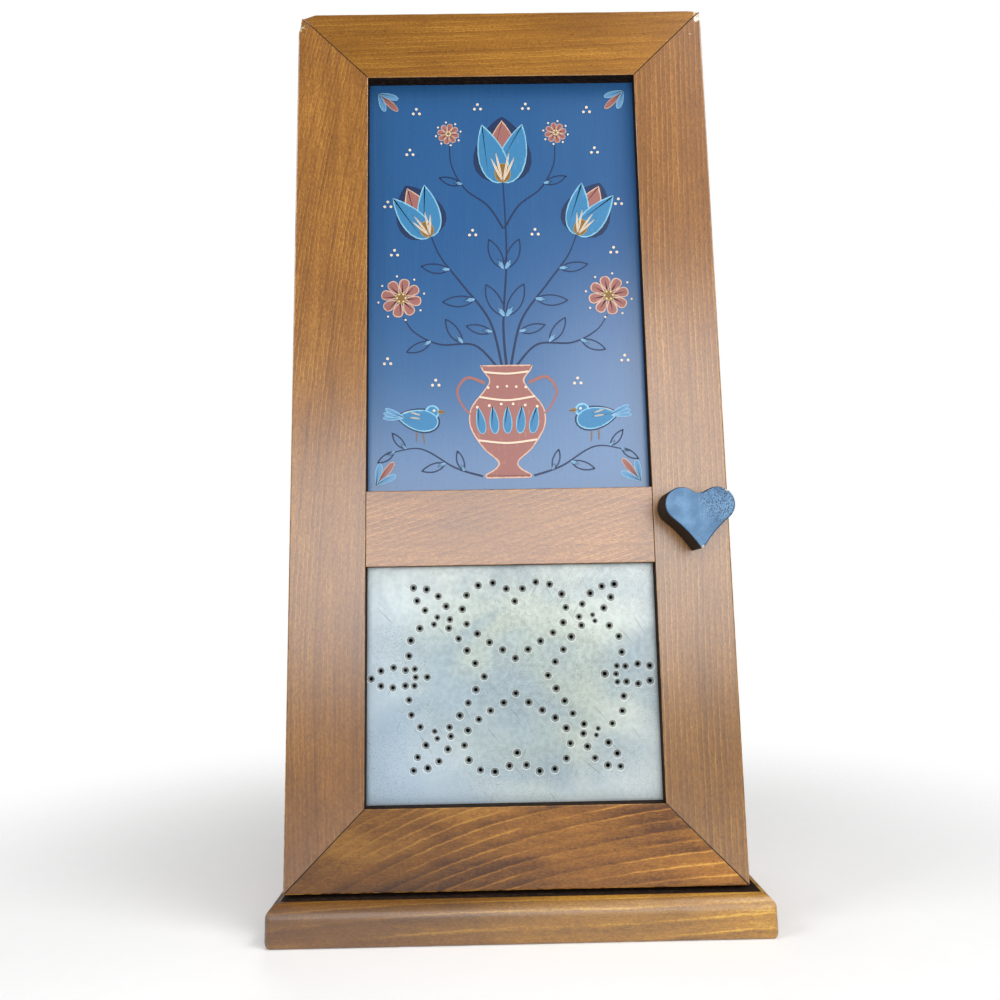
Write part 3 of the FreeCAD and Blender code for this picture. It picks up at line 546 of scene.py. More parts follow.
@dataclass(frozen=True)
class KnobPaint:
    """The panel's blue on the knob's face, cracked and mottled over a dark ground.

    Attributes:
        name: The finish's name.
        centre: The middle of the knob.
        body: The paint.
        thin: The paint where light catches it.
        crack: The paint in its cracks.
        ground: The dark wood at its worn edges.
        bare: The pale wood in its chips.
    """

    name: str
    centre: Vector
    body: Colour = shade(60, 106, 146)
    thin: Colour = shade(96, 140, 178)
    crack: Colour = shade(22, 46, 74)
    ground: Colour = shade(28, 22, 22)
    bare: Colour = shade(196, 186, 174)

    def material(self) -> Material:
        """Makes the material of the knob's face.

        Returns:
            The material.
        """
        graph = Graph(self.name)
        point = graph.vector("SUBTRACT", graph.point(), tuple(self.centre))
        across, _, up = graph.split(point)
        cloud = graph.noise(point, 60, 3.0)
        mottle = graph.noise(point, 1150)
        grit = graph.noise(point, 1700)
        patch = (across * 16.0 + up * 7.0 + cloud * 0.5).span(0.2, 0.55)
        crack = mottle.span(0.5, 0.6) * (patch * 0.85 + 0.12)
        colour = graph.mix(cloud.span(0.3, 0.7), self.body, self.thin)
        colour = graph.mix(crack, colour, self.crack)
        colour = graph.mix(grit.span(0.62, 0.7, 0.0, 0.5), colour, self.ground)
        ragged = (mottle - 0.5) * 0.8 + graph.mark("worn")
        colour = graph.mix(ragged.span(0.16, 0.4), colour, self.ground)
        colour = graph.mix(graph.mark("bare").span(0.35, 0.6), colour, self.bare)
        rough = grit.span(0.3, 0.7, 0.34, 0.5)
        return graph.surface(colour, rough, graph.bump(crack * -0.9 + grit, 0.16 * MM, 0.6))

    def side(self) -> Material:
        """Makes the dark stain of the knob's sides.

        Returns:
            The material.
        """
        graph = Graph(self.name + "_side")
        point = graph.point()
        coat = graph.noise(point, (160, 420, 160), 3.0)
        fine = graph.noise(point, (900, 300, 900))
        stripe = graph.maths("SINE", coat * 2.5 + graph.split(point)[1] * 520).span(0.3, 1.0)
        colour = graph.mix(coat.span(0.32, 0.7), shade(14, 9, 7), shade(36, 23, 16))
        colour = graph.mix(stripe * 0.35, colour, shade(70, 48, 32))
        return graph.surface(colour, 0.6, graph.bump(fine, 0.12 * MM), Specular_IOR_Level=0.15)


@dataclass(frozen=True)
class OldTin:
    """Dulled tin plate with a cool cast, fine specks, scratches and soft dents, with painted reflections,
    highlights and shade.

    Attributes:
        name: The finish's name.
        cool: The bluer patches.
        warm: The yellower patches.
        bloom_and_reflection: A painted reflection, with chalky oxide, towards the sheet's edges.
        sky: A painted reflection of blue sky on its lower left.
        stain: The tarnish round the holes, and the colour that darkens the sheet along the frame.
        lip: A painted highlight on the lip of each hollow.
        hole: Painted shade, near black, on the burr inside each hole.
    """

    name: str = "punched_tin"
    cool: Colour = shade(144, 160, 166)
    warm: Colour = shade(166, 176, 166)
    bloom_and_reflection: Colour = shade(222, 228, 228)
    sky: Colour = shade(150, 172, 192)
    stain: Colour = shade(66, 62, 52)
    lip: Colour = shade(240, 242, 236)
    hole: Colour = shade(16, 14, 11)

    def scratches(self, graph: Graph, point: Signal, turn: float, scale: Point, cut: float) -> Signal:
        """Thin scratches that run one way.

        Args:
            graph: The finish's nodes.
            point: The place on the sheet.
            turn: The scratches' direction, in degrees.
            scale: Features in a metre, across and along them.
            cut: The noise above which a scratch shows.

        Returns:
            A value of 1 on a scratch.
        """
        bend = graph.joined(graph.noise(point, 14, 0.0) * 0.03, 0, 0)
        laid = graph.turned(graph.vector("ADD", point, bend), (0, math.radians(turn), 0))
        return graph.noise(laid, (scale[0], 1, scale[1]), 0.0).span(cut, cut + 0.03)

    def material(self) -> Material:
        """Makes the tin's material.

        Returns:
            The material.
        """
        graph = Graph(self.name)
        point = graph.point()
        low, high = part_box("door_bottom_rail")[1].z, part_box("door_mid_rail")[0].z
        half = -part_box("door_stile_left")[1].x
        across, _, up = graph.split(point)
        height = up - (low + high) / 2
        cloud = graph.noise(point, (11, 11, 14), 2.0, 0.5)
        mottle = graph.noise(point, 240, 3.0)
        speck = graph.noise(point, 1500, 1.0)
        colour = graph.mix(cloud.span(0.36, 0.64), self.cool, self.warm)
        colour = graph.mix(1.0, colour, mottle.span(0.25, 0.75, 1.08, 0.86), "MULTIPLY")
        # Painted reflection and chalky oxide: paler towards the sheet's edges.
        away = graph.length(graph.joined(across / half, 0, height / ((high - low) / 2)))
        edge = ((cloud - 0.5) * 1.1 + away).span(0.55, 1.25, 0.0, 0.5)
        colour = graph.mix(edge, colour, self.bloom_and_reflection)
        # Painted reflection of blue sky: bluer towards the lower left.
        leftward = (height * 0.6 + across).span(-150 * MM, 10 * MM, 0.72, 0.0)
        colour = graph.mix(leftward, colour, self.sky)
        dots = speck.span(0.6, 0.7) * graph.noise(point, 17, 1.0).span(0.36, 0.6, 0.12, 0.75)
        colour = graph.mix(dots, colour, self.stain)
        rising = self.scratches(graph, point, 38, (900, 30), 0.78)
        falling = self.scratches(graph, point, -24, (1100, 40), 0.79)
        scratch = graph.maths("MAXIMUM", rising, falling)
        colour = graph.mix(scratch * 0.4, colour, self.stain)
        # Darker within a few millimetres of the frame.
        sides = half - graph.maths("ABSOLUTE", across)
        ends = graph.maths("MINIMUM", up - low, high - up)
        border = graph.maths("MINIMUM", sides, ends) + cloud * (2 * MM)
        colour = graph.mix(border.span(0.8 * MM, 3.2 * MM, 0.45, 0.0), colour, self.stain)
        hollow = graph.mark("hollow")
        # Painted highlight on the lip of each hollow.
        colour = graph.mix(hollow.span(-0.8, 0.0, 0.8, 0.0), colour, self.lip)
        tarnish = graph.maths("MULTIPLY", hollow, mottle.span(0.2, 0.6, 0.8, 1.0), clamp=True)
        colour = graph.mix(tarnish, colour, self.stain)
        # Painted shade: the burr inside each hole is near black.
        colour = graph.mix(graph.mark("dirt_and_shade").span(0.2, 0.9), colour, self.hole)
        dents = graph.bump(graph.noise(point, (26, 26, 30), 1.0), 2.2 * MM, 0.6)
        normal = graph.bump(speck * 0.25 - scratch * 0.8, 0.06 * MM, 0.5, dents)
        rough = mottle.span(0.3, 0.7, 0.42, 0.52) + tarnish * 0.15
        return graph.surface(colour, rough, normal, Metallic=0.3)


@dataclass(frozen=True)
class PlainMetal:
    """A worn small metal fitting.

    Attributes:
        name: The finish's name.
        bright: The metal where it is rubbed.
        dull: The metal where it has tarnished.
        rough: How rough it is.
    """

    name: str
    bright: Colour
    dull: Colour
    rough: float = 0.35

    def material(self) -> Material:
        """Makes the metal's material.

        Returns:
            The material.
        """
        graph = Graph(self.name)
        cloud = graph.noise(graph.point(), 190, 3.0)
        fine = graph.noise(graph.point(), (1500, 1500, 420), 1.0)
        colour = graph.mix(cloud.span(0.34, 0.66), self.bright, self.dull)
        rough = cloud.span(0.3, 0.7, self.rough, self.rough + 0.18)
        return graph.surface(colour, rough, graph.bump(fine, 0.04 * MM), Metallic=1.0)


@dataclass(frozen=True)
class Moulded:
    """A small moulded or sintered part: the catch's housing or its magnet.

    Attributes:
        name: The finish's name.
        body: Its colour.
        shadow: The colour in its texture.
        rough: How rough it is.
    """

    name: str
    body: Colour
    shadow: Colour
    rough: float = 0.45

    def material(self) -> Material:
        """Makes the part's material.

        Returns:
            The material.
        """
        graph = Graph(self.name)
        grain = graph.noise(graph.point(), 2600)
        cloud = graph.noise(graph.point(), 90).span(0.35, 0.7, 0.0, 0.7)
        colour = graph.mix(cloud, self.body, self.shadow)
        return graph.surface(colour, self.rough, graph.bump(grain, 0.05 * MM))


BRASS = PlainMetal("hinge_brass", shade(196, 158, 86), shade(128, 96, 50), 0.3)
IRON = PlainMetal("nail_iron", shade(92, 86, 80), shade(48, 40, 34), 0.45)
STEEL = PlainMetal("screw_steel", shade(176, 176, 172), shade(112, 108, 102), 0.3)
CATCH_BROWN = Moulded("catch_brown", shade(74, 48, 34), shade(56, 36, 26))
MAGNET_GREY = Moulded("magnet_grey", shade(60, 60, 62), shade(40, 40, 42), 0.6)


def settled(name: str, mesh: BMesh) -> Mesh:
    """Writes a bmesh into mesh data of its own and lets it go.

    Args:
        name: The data's name.
        mesh: The shape.

    Returns:
        The mesh data.
    """
    data = bpy.data.meshes.new(name)
    mesh.to_mesh(data)
    mesh.free()
    return data


def in_scene(name: str, data: ID) -> Object:
    """Puts an object into the scene.

    Args:
        name: The object's name.
        data: Its mesh, light or camera.

    Returns:
        The object.
    """
    made = bpy.data.objects.new(name, data)
    bpy.context.scene.collection.objects.link(made)
    return made


def made_piece(
    name: str,
    mesh: BMesh,
    finishes: Sequence[Material],
    body: str,
    nodes: Sequence[str] = (),
) -> Object:
    """Turns a bmesh into a piece of the scene.

    Args:
        name: The piece's name.
        mesh: Its shape, in the frame's metres.
        finishes: Its materials.
        body: The body that it moves with.
        nodes: The nodes that it stands for.

    Returns:
        The new object.
    """
    data = settled(name, mesh)
    if "custom_normal" in data.attributes:
        data.attributes.remove(data.attributes["custom_normal"])
    for finish in finishes:
        data.materials.append(finish)
    piece = in_scene(name, data)
    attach(piece, body)
    if nodes:
        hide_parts(*nodes)
    LOG.info("%s has %d faces", name, len(data.polygons))
    return piece


def new_mesh(*marks: str) -> BMesh:
    """Starts an empty bmesh.

    Args:
        marks: The marks that its points can carry.

    Returns:
        The bmesh.
    """
    mesh = bmesh.new()
    for mark in marks:
        mesh.verts.layers.float.new(mark)
    return mesh


def set_mark(mesh: BMesh, name: str, verts: Iterable[BMVert], value: float = 1.0) -> None:
    """Writes one mark on some points.

    Args:
        mesh: The shape.
        name: The mark's name.
        verts: The points.
        value: What is written.
    """
    layer = mesh.verts.layers.float[name]
    for vert in verts:
        vert[layer] = value


def points_of(geometry: Iterable[object]) -> list[BMVert]:
    """The points among the things that a mesh step gives back."""
    return [item for item in geometry if isinstance(item, BMVert)]


def drawn_out(mesh: BMesh, loop: Sequence[BMEdge]) -> tuple[list[BMVert], list[BMEdge]]:
    """Draws a strip of faces out of a line of edges.

    Args:
        mesh: The shape.
        loop: The edges to draw out.

    Returns:
        The new points, and the new edges that join them.
    """
    grown = bmesh.ops.extrude_edge_only(mesh, edges=loop)["geom"]
    fresh = points_of(grown)
    edges = [item for item in grown if isinstance(item, BMEdge)]
    return fresh, [edge for edge in edges if all(vert in fresh for vert in edge.verts)]


def welded(node: str, *marks: str) -> BMesh:
    """A node's shape with its faces joined.

    Args:
        node: The node's name.
        marks: The marks that its points can carry.

    Returns:
        The shape.
    """
    mesh = new_mesh(*marks)
    mesh.from_mesh(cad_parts[node].data)
    bmesh.ops.remove_doubles(mesh, verts=mesh.verts, dist=WELD)
    return mesh


def clean_board(node: str) -> BMesh:
    """A board's node as one clean shell, whose points can be worn, bare, or darkened by dirt at joints and by
    painted shade in corners.

    Args:
        node: The node's name.

    Returns:
        The shape.
    """
    mesh = welded(node, "worn", "dirt_and_shade", "bare")
    bmesh.ops.dissolve_limit(mesh, angle_limit=math.radians(1), verts=mesh.verts, edges=mesh.edges)
    for face in mesh.faces:
        face.material_index = 0
    return mesh


def steps_between(low: float, high: float, step: float) -> list[float]:
    """Evenly spaced distances inside a range, about a step apart."""
    count = max(1, round((high - low) / step))
    return [(high - low) * index / count for index in range(1, count)]


@dataclass(frozen=True)
class Side:
    """A flat side of a board.

    Attributes:
        point: A point on it.
        outward: The way it faces.
    """

    point: Vector
    outward: Vector

    def depth(self, place: Vector) -> float:
        """How far behind this side a place lies."""
        return (self.point - place).dot(self.outward)

    def cut(self, mesh: BMesh, depths: Iterable[float]) -> None:
        """Cuts a mesh along this side.

        Args:
            mesh: The shape.
            depths: How far behind the side each cut lies.
        """
        for depth in depths:
            geometry = [*mesh.verts, *mesh.edges, *mesh.faces]
            place = self.point - self.outward * depth
            bmesh.ops.bisect_plane(mesh, geom=geometry, dist=WELD, plane_co=place, plane_no=self.outward)


def box_sides(low: Vector, high: Vector) -> list[Side]:
    """The six sides of a box: left, front, bottom, right, back and top."""
    ways = [Vector([float(index == axis) for index in range(3)]) for axis in range(3)]
    return [Side(low, -way) for way in ways] + [Side(high, way) for way in ways]


def round_over(mesh: BMesh, first: Side, second: Side, radius: float) -> list[BMVert]:
    """Rounds the edge where two sides meet. Both are cut near the edge beforehand.

    Args:
        mesh: The shape.
        first: One side.
        second: The other side, square to it.
        radius: The round's radius.

    Returns:
        The points that moved.
    """
    moved = []
    for vert in mesh.verts:
        inner = (radius - first.depth(vert.co), radius - second.depth(vert.co))
        reach = math.hypot(*inner)
        if min(inner) > -WELD and max(inner) < radius + WELD and reach > radius + WELD:
            pull = 1 - radius / reach
            vert.co -= first.outward * inner[0] * pull + second.outward * inner[1] * pull
            moved.append(vert)
    return moved


@dataclass
class EasedBoard:
    """A wooden piece cut as its node is, with eased, rubbed edges and dark joints.

    Attributes:
        node: The node whose shape it has.
        body: The body it moves with.
        finish: Its material.
        slot: The name of a material slot; not used.
        ease: The radius of its edges.
        joint_ease: The radius of its edges at a joint.
        pitch: The spacing of its points along it.
        wear: How deep the edges are rubbed.
        joints: The sides that meet another board on the face.
        is_shaded: Tells the points that lie in a dark corner, where shade is painted.
        chips: Broken corners, each with its reach, its depth and how raw it is.
        lip: The material of the painted shade in the dark corner.
    """

    node: str
    body: str
    finish: Material
    slot: str = "pine"
    ease: float = 0.6 * MM
    joint_ease: float = 0.6 * MM
    pitch: float = 12 * MM
    wear: float = 0.25 * MM
    joints: Sequence[Side] = ()
    is_shaded: Callable[[Vector], bool] = lambda place: False
    chips: Sequence[tuple[Vector, float, float, float]] = ()
    lip: Material | None = None

    # Where an edge is cut, as shares of its radius.
    CUTS = (0.0, 0.3, 1.0)
    # How far behind a side the points of its rounded edges lie.
    ROUNDED = (0.04 * MM, 0.9 * MM)
    # How squarely a flat face looks along an axis.
    SQUARE = 0.9995

    def refine(self, mesh: BMesh, sides: Sequence[Side]) -> None:
        """Cuts the shape near its edges, along its length, and finely at its chips.

        Args:
            mesh: The shape.
            sides: The sides of its box.
        """
        size = [sides[axis].depth(sides[axis + 3].point) for axis in range(3)]
        longest = max(range(3), key=lambda axis: size[axis])
        for side in sides:
            side.cut(mesh, [self.ease * share for share in self.CUTS[1:]])
        for joint in self.joints:
            joint.cut(mesh, [self.joint_ease * share for share in self.CUTS])
        sides[longest].cut(mesh, steps_between(0, size[longest], self.pitch))
        for place, reach, *_ in self.chips:
            for axis in range(3):
                near = [sides[axis].depth(place) + reach * step / 5 for step in range(-5, 6)]
                sides[axis].cut(mesh, [depth for depth in near if self.ease < depth < size[axis] - self.ease])

    def rub(self, mesh: BMesh, sides: Sequence[Side]) -> None:
        """Wears the rounded edges unevenly and breaks the chipped corners.

        Args:
            mesh: The shape.
            sides: The sides of its box.
        """
        mesh.normal_update()
        worn = mesh.verts.layers.float["worn"]
        bare = mesh.verts.layers.float["bare"]
        for vert in mesh.verts:
            near = sum(self.ROUNDED[0] < side.depth(vert.co) < self.ROUNDED[1] for side in sides)
            if near > 1:
                knock = max(0.0, noise.noise(vert.co * 95) + 0.35 * noise.noise(vert.co * 330))
                vert.co -= vert.normal * self.wear * (0.1 + 1.6 * knock)
                vert[worn] = 1.0
        for place, reach, depth, raw in self.chips:
            inward = Vector((-math.copysign(1, place.x), 1, -1)).normalized()
            for vert in mesh.verts:
                gap = (vert.co - place).length / reach * (1 + 0.5 * raw * noise.noise(vert.co * 500))
                if gap < 1:
                    vert.co += inward * depth * (1 - gap)
                    vert[bare] = max(vert[bare], raw * min(1.0, (1 - gap) * 3))

    def build(self) -> Object:
        """Makes the board and lets it stand for its node.

        Returns:
            The piece.
        """
        mesh = clean_board(self.node)
        sides = box_sides(*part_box(self.node))
        front = sides[1]
        self.refine(mesh, sides)
        for joint in self.joints:
            set_mark(mesh, "dirt_and_shade", round_over(mesh, front, joint, self.joint_ease))
        for index, first in enumerate(sides):
            for second in sides[index + 1:]:
                if abs(first.outward.dot(second.outward)) < 0.5:
                    round_over(mesh, first, second, self.ease)
        self.rub(mesh, sides)
        # Painted shade on the points that lie in a dark corner.
        set_mark(mesh, "dirt_and_shade", [vert for vert in mesh.verts if self.is_shaded(vert.co)])
        mesh.normal_update()
        for face in mesh.faces:
            face.smooth = max(abs(part) for part in face.normal) < self.SQUARE
            # Faces in a dark corner take the painted shade's material.
            face.material_index = int(self.is_shaded(face.calc_center_median()))
        finishes = [self.finish] + [self.lip] * (self.lip is not None)
        return made_piece(self.node + "_board", mesh, finishes, self.body, [self.node])


@dataclass
class DoorFrame:
    """The door's mitred frame and the rail between its panels.

    Attributes:
        front: The face's depth.
        panel: The panels' depth.
        half: Half the openings' width.
        heights: The openings' ends, from the lowest up.
    """

    front: float = 0.0
    panel: float = 0.0
    half: float = 0.0
    heights: tuple[float, ...] = ()

    def __post_init__(self) -> None:
        """Reads the sizes from the frame."""
        self.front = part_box("door_stile_left")[0].y
        self.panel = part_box("painted_panel")[0].y
        self.half = -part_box("door_stile_left")[1].x
        bottom, middle, top = (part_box(f"door_{name}_rail") for name in ("bottom", "mid", "top"))
        self.heights = (bottom[1].z, middle[0].z, middle[1].z, top[0].z)

    def joints(self, node: str) -> list[Side]:
        """The sides of a board that meet another on the door's face.

        Args:
            node: The board's node.

        Returns:
            Its mitres, or the middle rail's shoulders.
        """
        low, _, _, high = self.heights
        ends = {
            "door_top_rail": [(side, high, side, -1) for side in (-1, 1)],
            "door_mid_rail": [(side, high, side, 0) for side in (-1, 1)],
            "door_bottom_rail": [(side, low, side, 1) for side in (-1, 1)],
            "door_stile_left": [(-1, high, 1, 1), (-1, low, 1, -1)],
            "door_stile_right": [(1, high, -1, 1), (1, low, -1, -1)],
        }
        return [
            Side(Vector((side * self.half, self.front, height)), Vector((across, 0, up)).normalized())
            for side, height, across, up in ends[node]
        ]

    def is_shaded(self, place: Vector) -> bool:
        """Tells whether a point lies on the inner faces of an opening, where shade is painted.

        Args:
            place: The point.

        Returns:
            Whether the painted shade covers it.
        """
        near = 0.1 * MM
        if not self.front + 0.5 * MM < place.y < self.panel + MM:
            return False
        inside = self.heights[0] - near < place.z < self.heights[3] + near
        on_side = abs(abs(place.x) - self.half) < near and inside
        on_level = any(abs(place.z - height) < near for height in self.heights)
        return on_side or on_level and abs(place.x) < self.half + near

    def build(self) -> None:
        """Makes the five boards."""
        low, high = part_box("door_top_rail")
        left_corner = Vector((low.x + 1.2 * MM, self.front, high.z - 1.2 * MM))
        right_corner = Vector((high.x - 1.2 * MM, self.front, high.z - 1.2 * MM))
        rounded = (left_corner, 14 * MM, 3.8 * MM, 0.0)
        chips = {
            "door_stile_left": [
                rounded,
                (left_corner + Vector((-2 * MM, 0, -11 * MM)), 6.5 * MM, 1.2 * MM, 1.0),
            ],
            "door_stile_right": [
                (right_corner + Vector((0, 0, -4 * MM)), 6.5 * MM, 1.7 * MM, 1.0),
                (right_corner + Vector((-9 * MM, 0, -22 * MM)), 1.3 * MM, 0.6 * MM, 1.0),
            ],
            "door_top_rail": [rounded, (right_corner, 5.5 * MM, 1.6 * MM, 1.0)],
        }
        # Each board's end tints are painted light, darker to the left and below; the middle rail's pinker
        # tint is partly a painted sheen.
        looks = {
            "door_stile_left": dict(
                pith=(-0.42, 0.06), ring=0.0036, line=0.26, lean=-0.09, bow=-0.2, blotch=0.5,
                tint_and_painted_light=(0.68, 0.64, 0.58, 1), far_tint_and_painted_light=(1.2, 1.18, 1.1, 1), seed=3.1
            ),
            "door_stile_right": dict(
                pith=(0.36, 0.05), ring=0.0046, line=0.28, lean=-0.01, blotch=0.4, tint_and_painted_light=(0.8, 0.84, 0.88, 1),
                far_tint_and_painted_light=(1.0, 0.95, 0.98, 1), seed=7.7
            ),
            "door_top_rail": dict(
                grain=Grain.ACROSS, pith=(0.5, 0.08), ring=0.005, line=0.18, lean=0.03, blotch=0.5,
                tint_and_painted_light=(1.04, 1.06, 0.84, 1), far_tint_and_painted_light=(1.24, 1.26, 0.92, 1), coat=0.5, seed=12.4
            ),
            "door_mid_rail": dict(
                grain=Grain.ACROSS, pith=(0.4, 0.04), ring=0.0045, line=0.24, lean=0.3, blotch=0.4,
                tint_and_painted_light=(0.95, 0.9, 1.12, 1), seed=18.9
            ),
            "door_bottom_rail": dict(
                grain=Grain.ACROSS, pith=(-0.12, 0.05), ring=0.0082, line=0.46, band=0.14, lean=0.3, bow=0.75,
                wander=0.011, blotch=1.7, tint_and_painted_light=(0.44, 0.4, 0.3, 1), far_tint_and_painted_light=(1.22, 1.22, 1.12, 1),
                coat=0.4, seed=26.3
            ),
        }
        # The painted shade of the openings' inner faces.
        lip = PaintedShade().material()
        for node, look in looks.items():
            EasedBoard(
                node,
                DOOR,
                board_stain(node, **look),
                joints=self.joints(node),
                is_shaded=self.is_shaded,
                chips=chips.get(node, ()),
                lip=lip,
            ).build()


def around(centre: Point, radius: float, turn: float) -> Point:
    """The point at this distance and in this direction from a centre."""
    return (centre[0] + radius * math.cos(turn), centre[1] + radius * math.sin(turn))


@dataclass
class PaintLayer:
    """All the strokes of one colour, gathered into one thin film on the panel.

    Attributes:
        paint: The colour.
        face: The depth of the panel's face.
        base: The height of the panel's lower edge.
        lift: How far this colour stands in front of the panel.
        mesh: The film.
        strokes: How many strokes have been laid down.
    """

    paint: Paint
    face: float
    base: float
    lift: float
    mesh: BMesh = field(default_factory=lambda: new_mesh("rim"))
    strokes: int = 0

    # How much further out each stroke stands, after how many strokes that starts again, and a dot's corners.
    STEP = 0.01 * MM
    STEPS = 7
    SIDES = 12

    def place(self, point: Point) -> Vector:
        """A point of the design, in millimetres from the middle of the panel's lower edge."""
        level = self.lift + self.strokes % self.STEPS * self.STEP
        return Vector((point[0] * MM, self.face - level, self.base + point[1] * MM))

    def fill(self, outline: Sequence[Point], rim: float = 1.2, hollow: bool = False) -> None:
        """Fills a closed outline inside a lighter rim.

        Args:
            outline: The outline's points.
            rim: The width of the rim.
            hollow: Whether only the rim is painted.
        """
        self.strokes += 1
        verts = [self.mesh.verts.new(self.place(point)) for point in outline]
        set_mark(self.mesh, "rim", verts)
        face = self.mesh.faces.new(verts)
        face.normal_update()
        bmesh.ops.inset_region(
            self.mesh, faces=[face], thickness=rim * MM, use_boundary=True, use_even_offset=True
        )
        if hollow:
            bmesh.ops.delete(self.mesh, geom=[face], context="FACES_ONLY")
        else:
            set_mark(self.mesh, "rim", face.verts, 0.0)

    def stroke(self, path: Sequence[Point], width: float, taper: float = 0.45) -> None:
        """Draws a line that thins towards its end.

        Args:
            path: The line's points.
            width: Its width at the start.
            taper: Its width at the end, as a share of that.
        """
        self.strokes += 1
        last = len(path) - 1
        edge = None
        for index, point in enumerate(path):
            before, after = path[max(0, index - 1)], path[min(last, index + 1)]
            run = Vector((after[0] - before[0], after[1] - before[1])).normalized()
            wide = width / 2 * (1 + (taper - 1) * index / last)
            aside = (-run.y * wide, run.x * wide)
            sides = [self.place((point[0] + aside[0] * side, point[1] + aside[1] * side)) for side in (-1, 1)]
            if edge is None:
                edge = self.mesh.edges.new([self.mesh.verts.new(side) for side in sides])
                continue
            fresh, (edge,) = drawn_out(self.mesh, [edge])
            for vert, target in zip(sorted(fresh, key=lambda item: (item.co - sides[0]).length), sides):
                vert.co = target

    def dot(self, centre: Point, radius: float) -> None:
        """Sets down one round dot."""
        turns = [2 * math.pi * index / self.SIDES for index in range(self.SIDES)]
        self.fill([around(centre, radius, turn) for turn in turns], radius * 0.4)

    def build(self, name: str) -> Object:
        """Gives the film its thickness and makes it a piece.

        Args:
            name: The piece's name.

        Returns:
            The piece.
        """
        bmesh.ops.recalc_face_normals(self.mesh, faces=self.mesh.faces)
        for face in self.mesh.faces:
            if face.normal.y > 0:
                face.normal_flip()
        bmesh.ops.solidify(self.mesh, geom=list(self.mesh.faces), thickness=self.lift)
        return made_piece(name, self.mesh, [self.paint.material()], DOOR)


def flowing(points: Sequence[Point], steps: int = 8) -> list[Point]:
    """A smooth line through some points.

    Args:
        points: The points, in order.
        steps: How many pieces each stretch has.

    Returns:
        The line's points.
    """
    ends = [Vector(points[0]), *map(Vector, points), Vector(points[-1])]
    line: list[Point] = []
    for before, start, end, after in zip(ends, ends[1:], ends[2:], ends[3:]):
        first = start + (end - before) / 6
        second = end - (after - start) / 6
        line += [tuple(p) for p in interpolate_bezier(start, first, second, end, steps + 1)[:-1]]
    return line + [tuple(points[-1])]


def drop(
    start: Point,
    angle: float,
    length: float,
    half: float,
    root: float = 0.6,
    tip: float = 1.0,
    bend: float = 0.0,
) -> list[Point]:
    """The outline of a petal, leaf or brush stroke.

    Args:
        start: Where it begins.
        angle: Its direction, in degrees from the right.
        length: Its length.
        half: Half its greatest width.
        root: How blunt its start is: a half is round, and one is pointed.
        tip: How blunt its end is.
        bend: How far its end turns aside.

    Returns:
        The outline's points.
    """
    count = 11
    peak = (root / (root + tip)) ** root * (tip / (root + tip)) ** tip
    near, far = [], []
    for index in range(count + 1):
        share = (1 - math.cos(math.pi * index / count)) / 2
        wide = half * share**root * (1 - share) ** tip / peak
        centre = Vector((share * length, bend * share * share))
        near.append(centre + Vector((0, -wide)))
        if 0 < index < count:
            far.append(centre + Vector((0, wide)))
    turn = Matrix.Rotation(math.radians(angle), 2)
    return [tuple(Vector(start) + turn @ point) for point in near + far[::-1]]


def flipped(outline: Sequence[Point]) -> list[Point]:
    """An outline on the other side of the middle."""
    return [(-x, y) for x, y in reversed(outline)]


